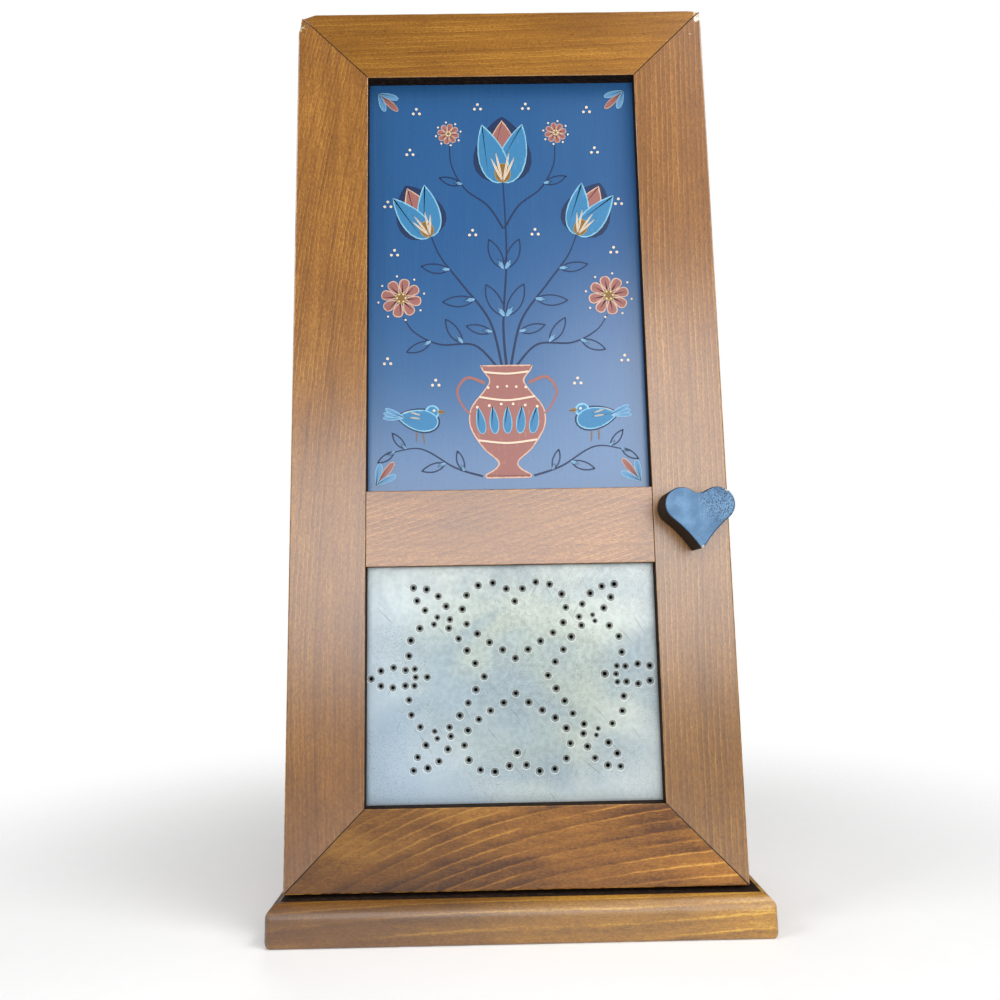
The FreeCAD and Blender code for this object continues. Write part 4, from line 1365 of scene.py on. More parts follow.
@dataclass
class FolkDesign:
    """The painted design: a footed vase of tulips and rosettes between two small birds.

    Lengths are millimetres from the middle of the panel's lower edge.

    Attributes:
        width: The panel's visible width.
        height: The panel's visible height.
        layers: The paints, from the first laid down to the last.
    """

    width: float
    height: float
    layers: dict[Paint, PaintLayer]

    def both(self, paint: Paint, outline: Sequence[Point], rim: float = 1.2, hollow: bool = False) -> None:
        """Fills an outline and its mirror image."""
        self.layers[paint].fill(outline, rim, hollow)
        self.layers[paint].fill(flipped(outline), rim, hollow)

    def line_both(self, points: Sequence[Point], width: float = 1.5, paint: Paint = Paint.NAVY) -> None:
        """Draws a line and its mirror image.

        Args:
            points: Places on the line.
            width: Its width at the start.
            paint: Its colour.
        """
        path = flowing(points)
        self.layers[paint].stroke(path, width)
        self.layers[paint].stroke([(-x, y) for x, y in path], width)

    def dots(self, places: Iterable[Point], radius: float, paint: Paint = Paint.CREAM) -> None:
        """Sets dots on both sides of the middle.

        Args:
            places: The middles of the dots on one side.
            radius: Their radius.
            paint: Their colour.
        """
        for x, y in places:
            self.layers[paint].dot((x, y), radius)
            if abs(x) > radius:
                self.layers[paint].dot((-x, y), radius)

    def leaf(self, start: Point, angle: float, length: float) -> None:
        """A pair of outlined leaves with three pale strokes at the root of each.

        Args:
            start: The root of the right-hand leaf.
            angle: The way it points, in degrees.
            length: Its length.
        """
        half = length * 0.19
        self.both(Paint.NAVY, drop(start, angle, length, half, 0.75, 0.85, length * 0.1), 1.25, True)
        for turn, share in ((-13, 0.24), (1, 0.34), (15, 0.26)):
            self.both(Paint.MIST, drop(start, angle + turn, length * share, length * 0.028, 0.6, 1.3), 0.25)

    def tulip(self, root: Point, angle: float, size: float, paired: bool = True) -> None:
        """A three-petalled tulip, and its mirror image where it is one of a pair.

        Args:
            root: The bottom of the flower.
            angle: The way it faces.
            size: Its height.
            paired: Whether the other side has one too.
        """
        parts = [
            (Paint.NAVY, drop(root, angle, size * 1.04, size * 0.43, 0.42, 0.8), 1.0),
            (Paint.ROSE, drop(root, angle, size * 0.98, size * 0.26, 0.5, 0.95), 1.5),
            (Paint.SKY, drop(root, angle + 24, size * 0.96, size * 0.21, 0.5, 0.9, -size * 0.1), 1.7),
            (Paint.SKY, drop(root, angle - 24, size * 0.96, size * 0.21, 0.5, 0.9, size * 0.1), 1.7),
            (Paint.OCHRE, drop(root, angle, size * 0.3, size * 0.12, 0.45, 0.5), 0.9),
        ]
        for turn in (-24, -12, 12, 24):
            length = size * (0.56 - abs(turn) * 0.005)
            parts.append((Paint.CREAM, drop(root, angle + turn, length, size * 0.016, 1, 1), 0.2))
        for paint, outline, rim in parts:
            self.layers[paint].fill(outline, rim)
            if paired:
                self.layers[paint].fill(flipped(outline), rim)

    def rosette(self, centre: Point, radius: float) -> None:
        """A pair of eight-petalled rosettes.

        Args:
            centre: The middle of the right-hand one.
            radius: Its radius.
        """
        for index in range(8):
            angle = index * 45 + 12
            turn = math.radians(angle)
            petal = drop(around(centre, 0.2 * radius, turn), angle, radius * 0.8, radius * 0.26, 0.9, 0.42)
            self.both(Paint.ROSE, petal, radius * 0.07)
            self.dots([around(centre, 1.14 * radius, turn + 0.39)], 0.9)
        self.dots([centre], radius * 0.3, Paint.OCHRE)
        self.dots([around(centre, 0.2 * radius, math.radians(index * 60)) for index in range(6)], 0.7)

    def vase(self, base: float, grow: float) -> None:
        """The footed vase with two handles.

        Args:
            base: The height of its foot.
            grow: Its size.
        """
        half = [
            (15.0, 0.0), (16.0, 2.6), (9.0, 7.0), (7.4, 12.0), (17.0, 21.0), (26.0, 36.0), (25.6, 50.0),
            (16.0, 63.0), (12.4, 70.0), (17.0, 77.0), (18.6, 81.0),
        ]

        def at(x: float, y: float) -> Point:
            """A point of the vase in the design."""
            return (x * grow, base + y * grow)

        side = [at(x, y) for x, y in flowing(half, 5)]
        self.layers[Paint.ROSE].fill(side + flipped(side), 1.7)
        for height, reach, sag in ((27.0, 20.5, 2.2), (58.0, 19.6, 2.6), (76.0, 15.6, 1.4)):
            band = flowing([at(-reach, height), at(0, height - sag), at(reach, height)], 10)
            self.layers[Paint.CREAM].stroke(band, 1.7, 1.0)
        for index in range(-2, 3):
            tongue = drop(at(index * 8.6, 31.5), 90 - index * 5, 20 * grow, 3.3 * grow, 0.5, 0.9)
            self.layers[Paint.SKY].fill(tongue, 0.9)
            self.layers[Paint.CREAM].dot(at(index * 6.6, 65.5 - 0.4 * abs(index)), 1.1)
        for index in range(-3, 3):
            self.layers[Paint.CREAM].dot(at((index + 0.5) * 8.4, 53.2 - abs(index + 0.5)), 1.2)
        handle = [at(15.5, 68), at(28, 72), at(35, 62), at(30, 50), at(24.5, 45)]
        self.line_both(handle, 3.0, Paint.ROSE)

    def bird(self, breast: Point) -> None:
        """A pair of plump birds that look towards the vase.

        Args:
            breast: The front of the breast of the right-hand bird.
        """
        x, y = breast
        self.both(Paint.NAVY, drop((x - 1.5, y), 10, 39, 11, 0.5, 0.8), 0.9)
        self.both(Paint.SKY, drop((x, y + 0.2), 10, 36, 9.6, 0.5, 0.8), 1.6)
        self.dots([(x + 5.2, y + 10)], 6.4, Paint.SKY)
        for turn in (0, 13, 26):
            self.both(Paint.MIST, drop((x + 29, y + 5.4), turn, 19, 2.2, 0.8, 0.5), 0.6)
        self.both(Paint.ROSE, drop((x + 10.5, y + 4.6), 14, 21, 5.4, 0.5, 0.9), 1.1)
        for rise in (-1.6, 1.4):
            self.both(Paint.CREAM, drop((x + 14, y + 5.6 + rise), 14 + rise * 3, 12, 0.6, 1, 1), 0.2)
        self.both(Paint.OCHRE, drop((x + 0.2, y + 10.4), 186, 6.4, 1.7, 0.5, 1.0), 0.4)
        self.dots([(x + 3.6, y + 11.4)], 1.1)
        self.line_both([(x + 13, y - 9), (x + 12, y - 18)], 1.2, Paint.OCHRE)
        self.line_both([(x + 19, y - 7.6), (x + 19, y - 16)], 1.2, Paint.OCHRE)

    def corner(self, place: Point, turn: float) -> None:
        """A fan of three brush strokes in a pair of corners.

        Args:
            place: The root of the right-hand fan.
            turn: The way it points, in degrees.
        """
        for index, length in ((-1, 19.0), (0, 25.0), (1, 19.0)):
            paint = Paint.ROSE if index == 0 else Paint.MIST
            self.both(paint, drop(place, turn + index * 27, length, 2.9, 0.9, 0.5), 0.6)

    def paint_all(self) -> None:
        """Lays down the whole design and makes its layers into pieces."""
        half, top = self.width / 2, self.height
        self.vase(11.0, 1.24)
        self.layers[Paint.NAVY].stroke(flowing([(0, 111), (-2, 150), (2, 214), (0, 286)]), 2.5)
        self.line_both([(4, 111), (14, 152), (38, 186), (57, 212), (66, 234)], 2.3)
        self.line_both([(9, 111), (28, 130), (58, 131), (80, 142), (90, 156)], 2.1)
        self.line_both([(0.5, 238), (14, 260), (34, 276), (46, 298), (48, 318)], 1.9)
        self.tulip((0, 282), 90, 62, paired=False)
        self.tulip((66, 231), 66, 52)
        self.rosette((92, 174), 18)
        self.rosette((49, 330), 10)
        for leaf in (
            ((1, 156), 56, 34), ((1, 200), 60, 31), ((27, 172), -10, 29), ((49, 200), 2, 26),
            ((38, 132), 50, 27), ((66, 134), -30, 24), ((37, 281), 12, 22), ((12, 142), 8, 24),
        ):
            self.leaf(*leaf)
        self.bird((60, 60))
        self.line_both([(22, 13), (46, 21), (76, 38), (106, 33)], 2.0)
        for leaf in (((38, 18), 66, 19), ((54, 25), -24, 22), ((88, 38), 44, 19), ((98, 36), -40, 18)):
            self.leaf(*leaf)
        self.corner((half - 8, top - 8), 225)
        self.corner((half - 7, 7), 128)
        for x, y in ((98, 216), (22, 356), (84, 312), (104, 116), (62, 96), (28, 234), (104, 262), (78, 352)):
            self.dots([(x, y + 2.6), (x - 2.8, y - 1.9), (x + 2.8, y - 1.9)], 1.25)
        for paint, layer in self.layers.items():
            layer.build("design_" + paint.name.lower())


@dataclass
class PaintedPanel:
    """The thin panel of the upper opening, painted on its face, with the design on it."""

    node: str = "painted_panel"

    def build(self) -> None:
        """Makes the panel and its design."""
        board = EasedBoard(self.node, DOOR, PanelPaint().material(), "blue_paint", pitch=40 * MM, wear=0.0)
        panel = board.build()
        panel.data.materials.append(Plywood("panel_back_ply").material())
        for face in panel.data.polygons:
            face.material_index = int(face.normal.y > 0.5)
        low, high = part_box("door_mid_rail")[1].z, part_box("door_top_rail")[0].z
        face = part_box(self.node)[0].y
        width = -2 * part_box("door_stile_left")[1].x
        order = (Paint.NAVY, Paint.ROSE, Paint.SKY, Paint.MIST, Paint.OCHRE, Paint.CREAM)
        lifts = [hundredths / 100 * MM for hundredths in range(8, 62, 9)]
        layers = {paint: PaintLayer(paint, face, low, lift) for paint, lift in zip(order, lifts)}
        FolkDesign(width / MM, (high - low) / MM, layers).paint_all()


@dataclass
class PunchedTin:
    """The tin sheet with its hand-punched hearts and leaves. Lengths are millimetres.

    Attributes:
        node: The node that it stands for.
        shift: The pattern's middle, from the middle of the opening.
        lobe: The radius of a heart's lobe.
        spread: Half the distance between its lobes.
        rise: The height of its lobes' middles above its tip.
        steps: The holes along half a heart.
        tips: How far the upright and the level hearts' tips lie from the middle.
        leaf_half: Half a leaf's width.
        corner_leaf: A corner leaf's length and where it starts.
        side_leaf: A side leaf's length and where it starts.
        mouth: The radius of the hollow round a hole.
        depth: How far the punch pushed the metal back.
        gauge: The sheet's thickness.
        sides: The number of points round a hole.
        slip: How far a hole strays from its place.
    """

    node: str = "tin_panel"
    shift: Point = (2.7, 4.5)
    lobe: float = 22.3
    spread: float = 21.2
    rise: float = 40.2
    steps: int = 10
    tips: tuple[float, float] = (14.5, 26.7)
    leaf_half: float = 8.2
    corner_leaf: tuple[float, float, float] = (40.5, 54.3, 47.6)
    side_leaf: tuple[float, float] = (37.0, 83.5)
    mouth: float = 3.75
    depth: float = 1.5
    gauge: float = 0.45
    sides: int = 16
    slip: float = 0.45

    # Each step into a hollow: its radius and depth as shares of the whole, and how bright or dark it is,
    # below zero as a painted highlight.
    PROFILE = (
        (0.94, 0.03, -0.8),
        (0.87, 0.08, 0.1),
        (0.82, 0.17, 0.8),
        (0.74, 0.26, 0.52),
        (0.52, 0.38, 0.5),
        (0.43, 0.6, 0.75),
        (0.37, 1.05, 1.0),
    )

    def heart(self) -> list[Point]:
        """Lays out one heart, its tip at the origin and its lobes up.

        Returns:
            The heart's holes.
        """
        distance = math.hypot(self.spread, self.rise)
        straight = math.sqrt(distance**2 - self.lobe**2)
        slope = math.atan2(self.rise, self.spread) - math.asin(self.lobe / distance)
        start = slope - math.pi / 2
        end = math.pi - math.acos(min(1.0, self.spread / self.lobe))
        length = straight + self.lobe * (end - start)
        half: list[Point] = []
        for step in range(self.steps + 1):
            travelled = length * step / self.steps
            if travelled <= straight:
                half.append((travelled * math.cos(slope), travelled * math.sin(slope)))
            else:
                turn = start + (travelled - straight) / self.lobe
                half.append(around((self.spread, self.rise), self.lobe, turn))
        return half + [(-x, z) for x, z in half[1:-1]]

    def leaf(self, length: float) -> list[Point]:
        """Lays out one leaf along its own length.

        Args:
            length: The leaf's length.

        Returns:
            The leaf's holes.
        """
        radius = (length**2 / 4 + self.leaf_half**2) / (2 * self.leaf_half)
        half_turn = math.asin(length / (2 * radius))
        holes = [(0.0, 0.0), (length, 0.0)]
        for turn in (-half_turn / 2, 0.0, half_turn / 2):
            x = length / 2 + radius * math.sin(turn)
            z = radius * math.cos(turn) - radius + self.leaf_half
            holes += [(x, z), (x, -z)]
        return holes

    def turned(self, points: Sequence[Point], turn: float, shift: Point) -> list[Point]:
        """Points turned and then shifted."""
        across, up = math.cos(turn), math.sin(turn)
        return [(shift[0] + x * across - z * up, shift[1] + x * up + z * across) for x, z in points]

    def holes(self) -> list[Point]:
        """Lays out the whole pattern.

        Returns:
            Every hole, from the pattern's middle.
        """
        found: list[Point] = []
        for quarter in range(4):
            turn = quarter * math.pi / 2
            tip = self.tips[quarter % 2]
            found += self.turned(self.heart(), turn, (-tip * math.sin(turn), tip * math.cos(turn)))
        length, x, z = self.corner_leaf
        diagonal = math.atan2(z, x)
        for side in (-1, 1):
            upright = 0.0 if side > 0 else math.pi
            found += self.turned(self.leaf(self.side_leaf[0]), upright, (side * self.side_leaf[1], 0))
            for level in (-1, 1):
                turn = level * diagonal if side > 0 else math.pi - level * diagonal
                found += self.turned(self.leaf(length), turn, (side * x, level * z))
        return found

    def spots(self, middle: Vector, chance: random.Random) -> list[tuple[Vector, float, float]]:
        """Where each hole is, how wide it is and how deep it was punched.

        Args:
            middle: The middle of the pattern.
            chance: What makes each hole a little different.

        Returns:
            Each hole's middle, and its size and its depth as shares of the usual ones.
        """
        found = []
        for x, z in self.holes():
            slip = Vector((chance.uniform(-self.slip, self.slip), 0, chance.uniform(-self.slip, self.slip)))
            place = middle + (Vector((x, 0, z)) + slip) * MM
            found.append((place, chance.uniform(0.93, 1.07), chance.uniform(0.8, 1.15)))
        return found

    def edging(self, mesh: BMesh, low: Vector, high: Vector) -> None:
        """Lays down the sheet's outline in short edges.

        Args:
            mesh: Where it goes.
            low: The lowest corner of the sheet's box.
            high: The highest corner of the sheet's box.
        """
        ends = ((low.x, low.z), (high.x, low.z), (high.x, high.z), (low.x, high.z))
        corners = [mesh.verts.new((x, low.y, z)) for x, z in ends]
        border = [mesh.edges.new((corners[index - 1], corners[index])) for index in range(4)]
        bmesh.ops.subdivide_edges(mesh, edges=border, cuts=9)

    def punch(
        self,
        mesh: BMesh,
        loop: list[BMEdge],
        centre: Vector,
        mouth: float,
        push: float,
        chance: random.Random,
    ) -> None:
        """Draws one hole's edge back into a rounded hollow with a ragged end.

        Args:
            mesh: The sheet.
            loop: The hollow's edge.
            centre: The middle of the hole.
            mouth: The hollow's radius.
            push: How deep it is, as a share of the usual depth.
            chance: What makes its end ragged.
        """
        hollow, dirt_and_shade = (mesh.verts.layers.float[name] for name in ("hollow", "dirt_and_shade"))
        for share, deep, dark in self.PROFILE:
            fresh, loop = drawn_out(mesh, loop)
            for vert in fresh:
                away = vert.co - centre
                away.y = 0
                ragged = 1 + chance.uniform(-1, 1) * (0.09 if dark == 1.0 else 0.02)
                spot = centre + away.normalized() * mouth * share * ragged
                spot.y = centre.y + deep * self.depth * push * ragged * MM
                vert.co = spot
                vert[hollow] = dark
                # The step deeper than the whole gets painted shade.
                vert[dirt_and_shade] = 1.0 if deep > 1.0 else 0.0

    def build(self) -> Object:
        """Fills the sheet round its holes, punches them and gives the sheet its thickness.

        Returns:
            The piece.
        """
        chance = random.Random(41)
        low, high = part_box(self.node)
        opening = (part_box("door_bottom_rail")[1].z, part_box("door_mid_rail")[0].z)
        middle = Vector((self.shift[0] * MM, low.y, sum(opening) / 2 + self.shift[1] * MM))
        spots = self.spots(middle, chance)
        mesh = new_mesh("hollow", "dirt_and_shade")
        self.edging(mesh, low, high)
        upright = Matrix.Rotation(math.pi / 2, 4, "X")
        rims: list[tuple[list[BMEdge], Vector, float, float]] = []
        for centre, size, push in spots:
            nearest = min((other - centre).length for other, _, _ in spots if other != centre)
            mouth = min(self.mouth * size * MM, nearest * 0.49)
            place = Matrix.Translation(centre) @ upright
            ring = bmesh.ops.create_circle(mesh, segments=self.sides, radius=mouth, matrix=place)["verts"]
            rims.append((list({edge for vert in ring for edge in vert.link_edges}), centre, mouth, push))
        bmesh.ops.triangle_fill(mesh, edges=list(mesh.edges), use_beauty=True, normal=(0, -1, 0))
        sheet = set(mesh.faces)
        for rim in rims:
            self.punch(mesh, *rim, chance)
        bmesh.ops.recalc_face_normals(mesh, faces=mesh.faces)
        if max(mesh.faces, key=lambda face: face.calc_area()).normal.y > 0:
            bmesh.ops.reverse_faces(mesh, faces=mesh.faces)
        for face in mesh.faces:
            face.smooth = face not in sheet
        piece = made_piece(self.node + "_sheet", mesh, [OldTin().material()], DOOR, [self.node])
        wall = piece.modifiers.new("gauge", "SOLIDIFY")
        wall.thickness = self.gauge * MM
        wall.offset = -1
        return piece


@dataclass
class HeartKnob:
    """The thick heart-shaped knob. Lengths are metres.

    Attributes:
        node: The node that it stands for.
        lobe: The radius of its lobes.
        cleft: The radius of the dip between them.
        flank: The radius of its hollow flanks.
        tip: Half the width of its rounded tip.
        tip_rise: How far the tip's round rises in that.
        round_over: How far its front edge is rounded.
    """

    node: str = "heart_knob"
    lobe: float = 14.0 * MM
    cleft: float = 10.0 * MM
    flank: float = 100.0 * MM
    tip: float = 1.6 * MM
    tip_rise: float = 0.7 * MM
    round_over: float = 1.5 * MM

    def centres(self, width: float, height: float) -> tuple[Vector, Vector, Vector]:
        """The middles of the lobe's, the cleft's and the flank's circles, the knob's tip at the origin.

        Args:
            width: The knob's width.
            height: The knob's height.

        Returns:
            The three middles, on the knob's right half.
        """
        lobe = Vector((width / 2 - self.lobe, 0, height - self.lobe))
        cleft = Vector((0, 0, lobe.z + math.sqrt((self.lobe + self.cleft) ** 2 - lobe.x**2)))
        start = Vector((self.tip, 0, self.tip_rise))
        chord = lobe - start
        outer = self.lobe + self.flank
        along = (chord.length**2 + self.flank**2 - outer**2) / (2 * chord.length)
        aside = math.sqrt(self.flank**2 - along**2)
        way = chord.normalized()
        flank = start + way * along + Vector((way.z, 0, -way.x)) * aside
        return lobe, cleft, flank

    def outline(self, mesh: BMesh, width: float, height: float) -> None:
        """Spins a point round each circle in turn, then mirrors the half outline.

        Args:
            mesh: Where the outline goes.
            width: The knob's width.
            height: The knob's height.
        """
        lobe, cleft, flank = self.centres(width, height)
        waist = lobe + (flank - lobe).normalized() * self.lobe
        crown = lobe + (cleft - lobe).normalized() * self.lobe
        dip = cleft - Vector((0, 0, self.cleft))
        start = Vector((self.tip, 0, self.tip_rise))
        point = Vector((0, 0, (self.tip**2 + self.tip_rise**2) / (2 * self.tip_rise)))
        arcs = (
            (point, Vector((0, 0, 0)), start, 5),
            (flank, start, waist, 16),
            (lobe, waist, crown, 34),
            (cleft, crown, dip, 10),
        )
        vert = mesh.verts.new((0, 0, 0))
        for centre, start, end, steps in arcs:
            first, last = start - centre, end - centre
            turn = math.atan2(first.z * last.x - first.x * last.z, first.x * last.x + first.z * last.z)
            if centre is lobe and turn > 0:
                turn -= 2 * math.pi
            made = bmesh.ops.spin(
                mesh, geom=[vert], cent=centre, axis=(0, 1, 0), angle=turn, steps=steps, use_duplicate=False
            )
            vert = points_of(made["geom_last"])[0]
        bmesh.ops.mirror(mesh, geom=[*mesh.verts, *mesh.edges], axis="X", merge_dist=WELD)
        bmesh.ops.remove_doubles(mesh, verts=mesh.verts, dist=0.02 * MM)

    def thicken(self, mesh: BMesh, depth: float) -> list[BMFace]:
        """Draws the outline out to the front and rounds its front edge.

        Args:
            mesh: The outline.
            depth: The knob's depth.

        Returns:
            The faces of the round.
        """
        bmesh.ops.contextual_create(mesh, geom=list(mesh.edges))
        fresh = points_of(bmesh.ops.extrude_face_region(mesh, geom=list(mesh.faces))["geom"])
        bmesh.ops.translate(mesh, verts=fresh, vec=(0, -depth, 0))
        bmesh.ops.recalc_face_normals(mesh, faces=mesh.faces)
        made = bmesh.ops.bevel(
            mesh,
            geom=[edge for edge in mesh.edges if all(vert.co.y < -depth + WELD for vert in edge.verts)],
            offset=self.round_over,
            offset_type="OFFSET",
            affect="EDGES",
            segments=5,
            profile=0.5,
            material=-1,
            clamp_overlap=True,
        )
        return made["faces"]

    def ring_face(self, mesh: BMesh, height: float) -> None:
        """Sets two rings inside the front face, to keep its shading even.

        Args:
            mesh: The knob.
            height: The knob's height.
        """
        middle = Matrix.Translation((0, 0, -height * 0.56))
        for share in (0.95, 0.84):
            face = max(mesh.faces, key=lambda item: item.calc_area() if item.normal.y < -0.5 else 0)
            inner = bmesh.ops.extrude_face_region(mesh, geom=[face])["geom"]
            if face.is_valid:
                bmesh.ops.delete(mesh, geom=[face], context="FACES_ONLY")
            bmesh.ops.scale(mesh, vec=(share, 1, share), space=middle, verts=points_of(inner))
            mesh.normal_update()

    def chip(self, mesh: BMesh, low: Vector, high: Vector) -> None:
        """Breaks small chips out of its front edge, at the right lobe and the tip.

        Args:
            mesh: The knob, in its place.
            low: The lowest corner of its box.
            high: The highest corner of its box.
        """
        middle = (low + high) / 2
        chips = (
            (Vector((high.x - 6.2 * MM, low.y, high.z - 2.4 * MM)), 1.7 * MM, 0.5 * MM),
            (Vector((high.x - 8.6 * MM, low.y, high.z - 1.0 * MM)), 1.2 * MM, 0.4 * MM),
            (Vector((middle.x + 0.8 * MM, low.y, low.z + 0.6 * MM)), 1.8 * MM, 0.5 * MM),
        )
        bare = mesh.verts.layers.float["bare"]
        mesh.normal_update()
        for vert in mesh.verts:
            for place, reach, depth in chips:
                share = 1 - (vert.co - place).length / reach
                if share > 0:
                    vert.co -= vert.normal * depth * share
                    vert[bare] = min(1.0, share * 3)

    def build(self) -> Object:
        """Makes the knob, rounds its edges and chips them.

        Returns:
            The piece.
        """
        low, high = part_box(self.node)
        size = high - low
        mesh = new_mesh("worn", "bare")
        self.outline(mesh, size.x, size.z)
        rounds = self.thicken(mesh, size.y)
        self.ring_face(mesh, size.z)
        for face in mesh.faces:
            if abs(face.normal.y) < 0.9:
                face.smooth = True
                face.material_index = 1
        worn = mesh.verts.layers.float["worn"]
        for face in rounds:
            face.smooth = True
            face.material_index = 0
            for vert in face.verts:
                share = (vert.co.y + size.y) / self.round_over
                vert[worn] = max(0.0, min(1.0, share * 1.2))
        move = Vector(((low.x + high.x) / 2, high.y, low.z))
        bmesh.ops.translate(mesh, verts=mesh.verts, vec=move)
        self.chip(mesh, low, high)
        paint = KnobPaint("knob_paint", (low + high) / 2)
        finishes = [paint.material(), paint.side()]
        return made_piece(self.node + "_carved", mesh, finishes, DOOR, [self.node])


@dataclass
class BaseBoard:
    """The base board with its half-inch round-over. Lengths are metres.

    Attributes:
        node: The node that it stands for.
        round_over: The radius along its top.
        foot: The radius along its foot at the ends.
        dark: How far below its top the painted shadow of the door reaches.
    """

    node: str = "plinth_base"
    round_over: float = 12.7 * MM
    foot: float = 7.5 * MM
    dark: float = 0.5 * MM

    def build(self) -> Object:
        """Smooths the node's rounds, dents them, rubs them and paints shade on the ledge and the left end.

        Returns:
            The piece.
        """
        low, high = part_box(self.node)
        mesh = clean_board(self.node)
        left, _, bottom, *_ = box_sides(low, high)
        left.cut(mesh, steps_between(low.x, high.x, 5 * MM))
        bottom.cut(mesh, (self.foot + MM, high.z - self.round_over - MM, high.z - self.dark))
        for face in mesh.faces:
            face.smooth = True
        for edge in mesh.edges:
            edge.smooth = edge.calc_face_angle(0.0) < math.radians(30)
        mesh.normal_update()
        worn, bare, dirt_and_shade = (mesh.verts.layers.float[name] for name in ("worn", "bare", "dirt_and_shade"))
        corner = Vector((low.x + 1.5 * MM, low.y + 3 * MM, low.z + 10 * MM))
        for vert in mesh.verts:
            if vert.co.z > low.z + WELD and vert.normal.y < -0.05:
                dent, nick = (max(0.0, noise.noise(vert.co * scale) - 0.3) for scale in (60, 260))
                knock = dent + 0.3 * nick
                vert.co -= vert.normal * 0.6 * MM * knock
                vert[worn] = 0.3 + 0.6 * knock
            gap = (vert.co - corner).length
            vert[bare] = max(0.0, 0.5 - gap / (14 * MM))
            # Painted shadow of the door along the ledge, and painted shade on the left end.
            top = 0.72 * max(0.0, min(1.0, 1.25 - (high.z - vert.co.z) / self.dark))
            vert[dirt_and_shade] = max(top, 0.36 * max(0.0, 1 - (vert.co.x - low.x) / (3 * MM)))
        # Faces on the ledge take the painted shadow's material.
        for face in mesh.faces:
            face.material_index = int(face.calc_center_median().z > high.z - 0.6 * self.dark)
        # The base's end tints are painted light: much darker at its left end than at its right.
        stain = StainedPine(
            "stain_base", (low + high) / 2, Grain.ACROSS, pith=(0.09, 0.02), lean=0.05, ring=0.007,
            wander=0.006, line=0.3, band=0.25, blotch=0.9, tint_and_painted_light=(0.46, 0.42, 0.26, 1),
            far_tint_and_painted_light=(1.34, 1.56, 0.98, 1), length=high.x - low.x, coat=0.8, gloss=0.4, seed=33.8
        )
        finishes = [stain.material(), PaintedShade("painted_ledge_shadow").material()]
        return made_piece(self.node + "_board", mesh, finishes, CASE, [self.node])


@dataclass
class CaseBoards:
    """The boards of the case, the back and the strips behind the door's panels."""

    def build(self) -> None:
        """Makes every board of the case."""
        looks = {
            "left_side": dict(
                pith=(-0.05, 0.05), ring=0.007, lean=0.03, wander=0.008, blotch=0.8, seed=41.2
            ),
            "right_side": dict(
                pith=(0.06, 0.04), ring=0.0078, lean=-0.04, wander=0.008, blotch=0.8, seed=47.5
            ),
            "top_panel": dict(grain=Grain.ACROSS, pith=(-0.06, 0.03), blotch=0.8, seed=52.6),
            "bottom_panel": dict(grain=Grain.ACROSS, pith=(0.05, -0.3), seed=57.3),
            "lower_shelf": dict(grain=Grain.ACROSS, pith=(0.08, -0.05), seed=63.8),
            "upper_shelf": dict(grain=Grain.ACROSS, pith=(-0.07, 0.06), seed=68.1),
            "hanging_rail": dict(grain=Grain.ACROSS, pith=(0.3, 0.05), seed=72.9),
        }
        for node, look in looks.items():
            EasedBoard(node, CASE, board_stain(node, **look), pitch=24 * MM).build()
        back = Plywood().material()
        EasedBoard("back_panel", CASE, back, "plywood", 0.25 * MM, pitch=60 * MM, wear=0.0).build()
        strips = [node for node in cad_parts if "_stop_" in node]
        upright = StainedPine("stain_strips_upright", Vector((0, 0, 0)), Grain.UP, seed=81.4)
        level = StainedPine("stain_strips_level", Vector((0, 0, 0)), Grain.ACROSS, seed=86.2)
        finishes = {True: upright.material(), False: level.material()}
        for node in sorted(strips):
            finish = finishes[node.endswith(("left", "right"))]
            EasedBoard(node, DOOR, finish, ease=0.35 * MM, pitch=30 * MM).build()


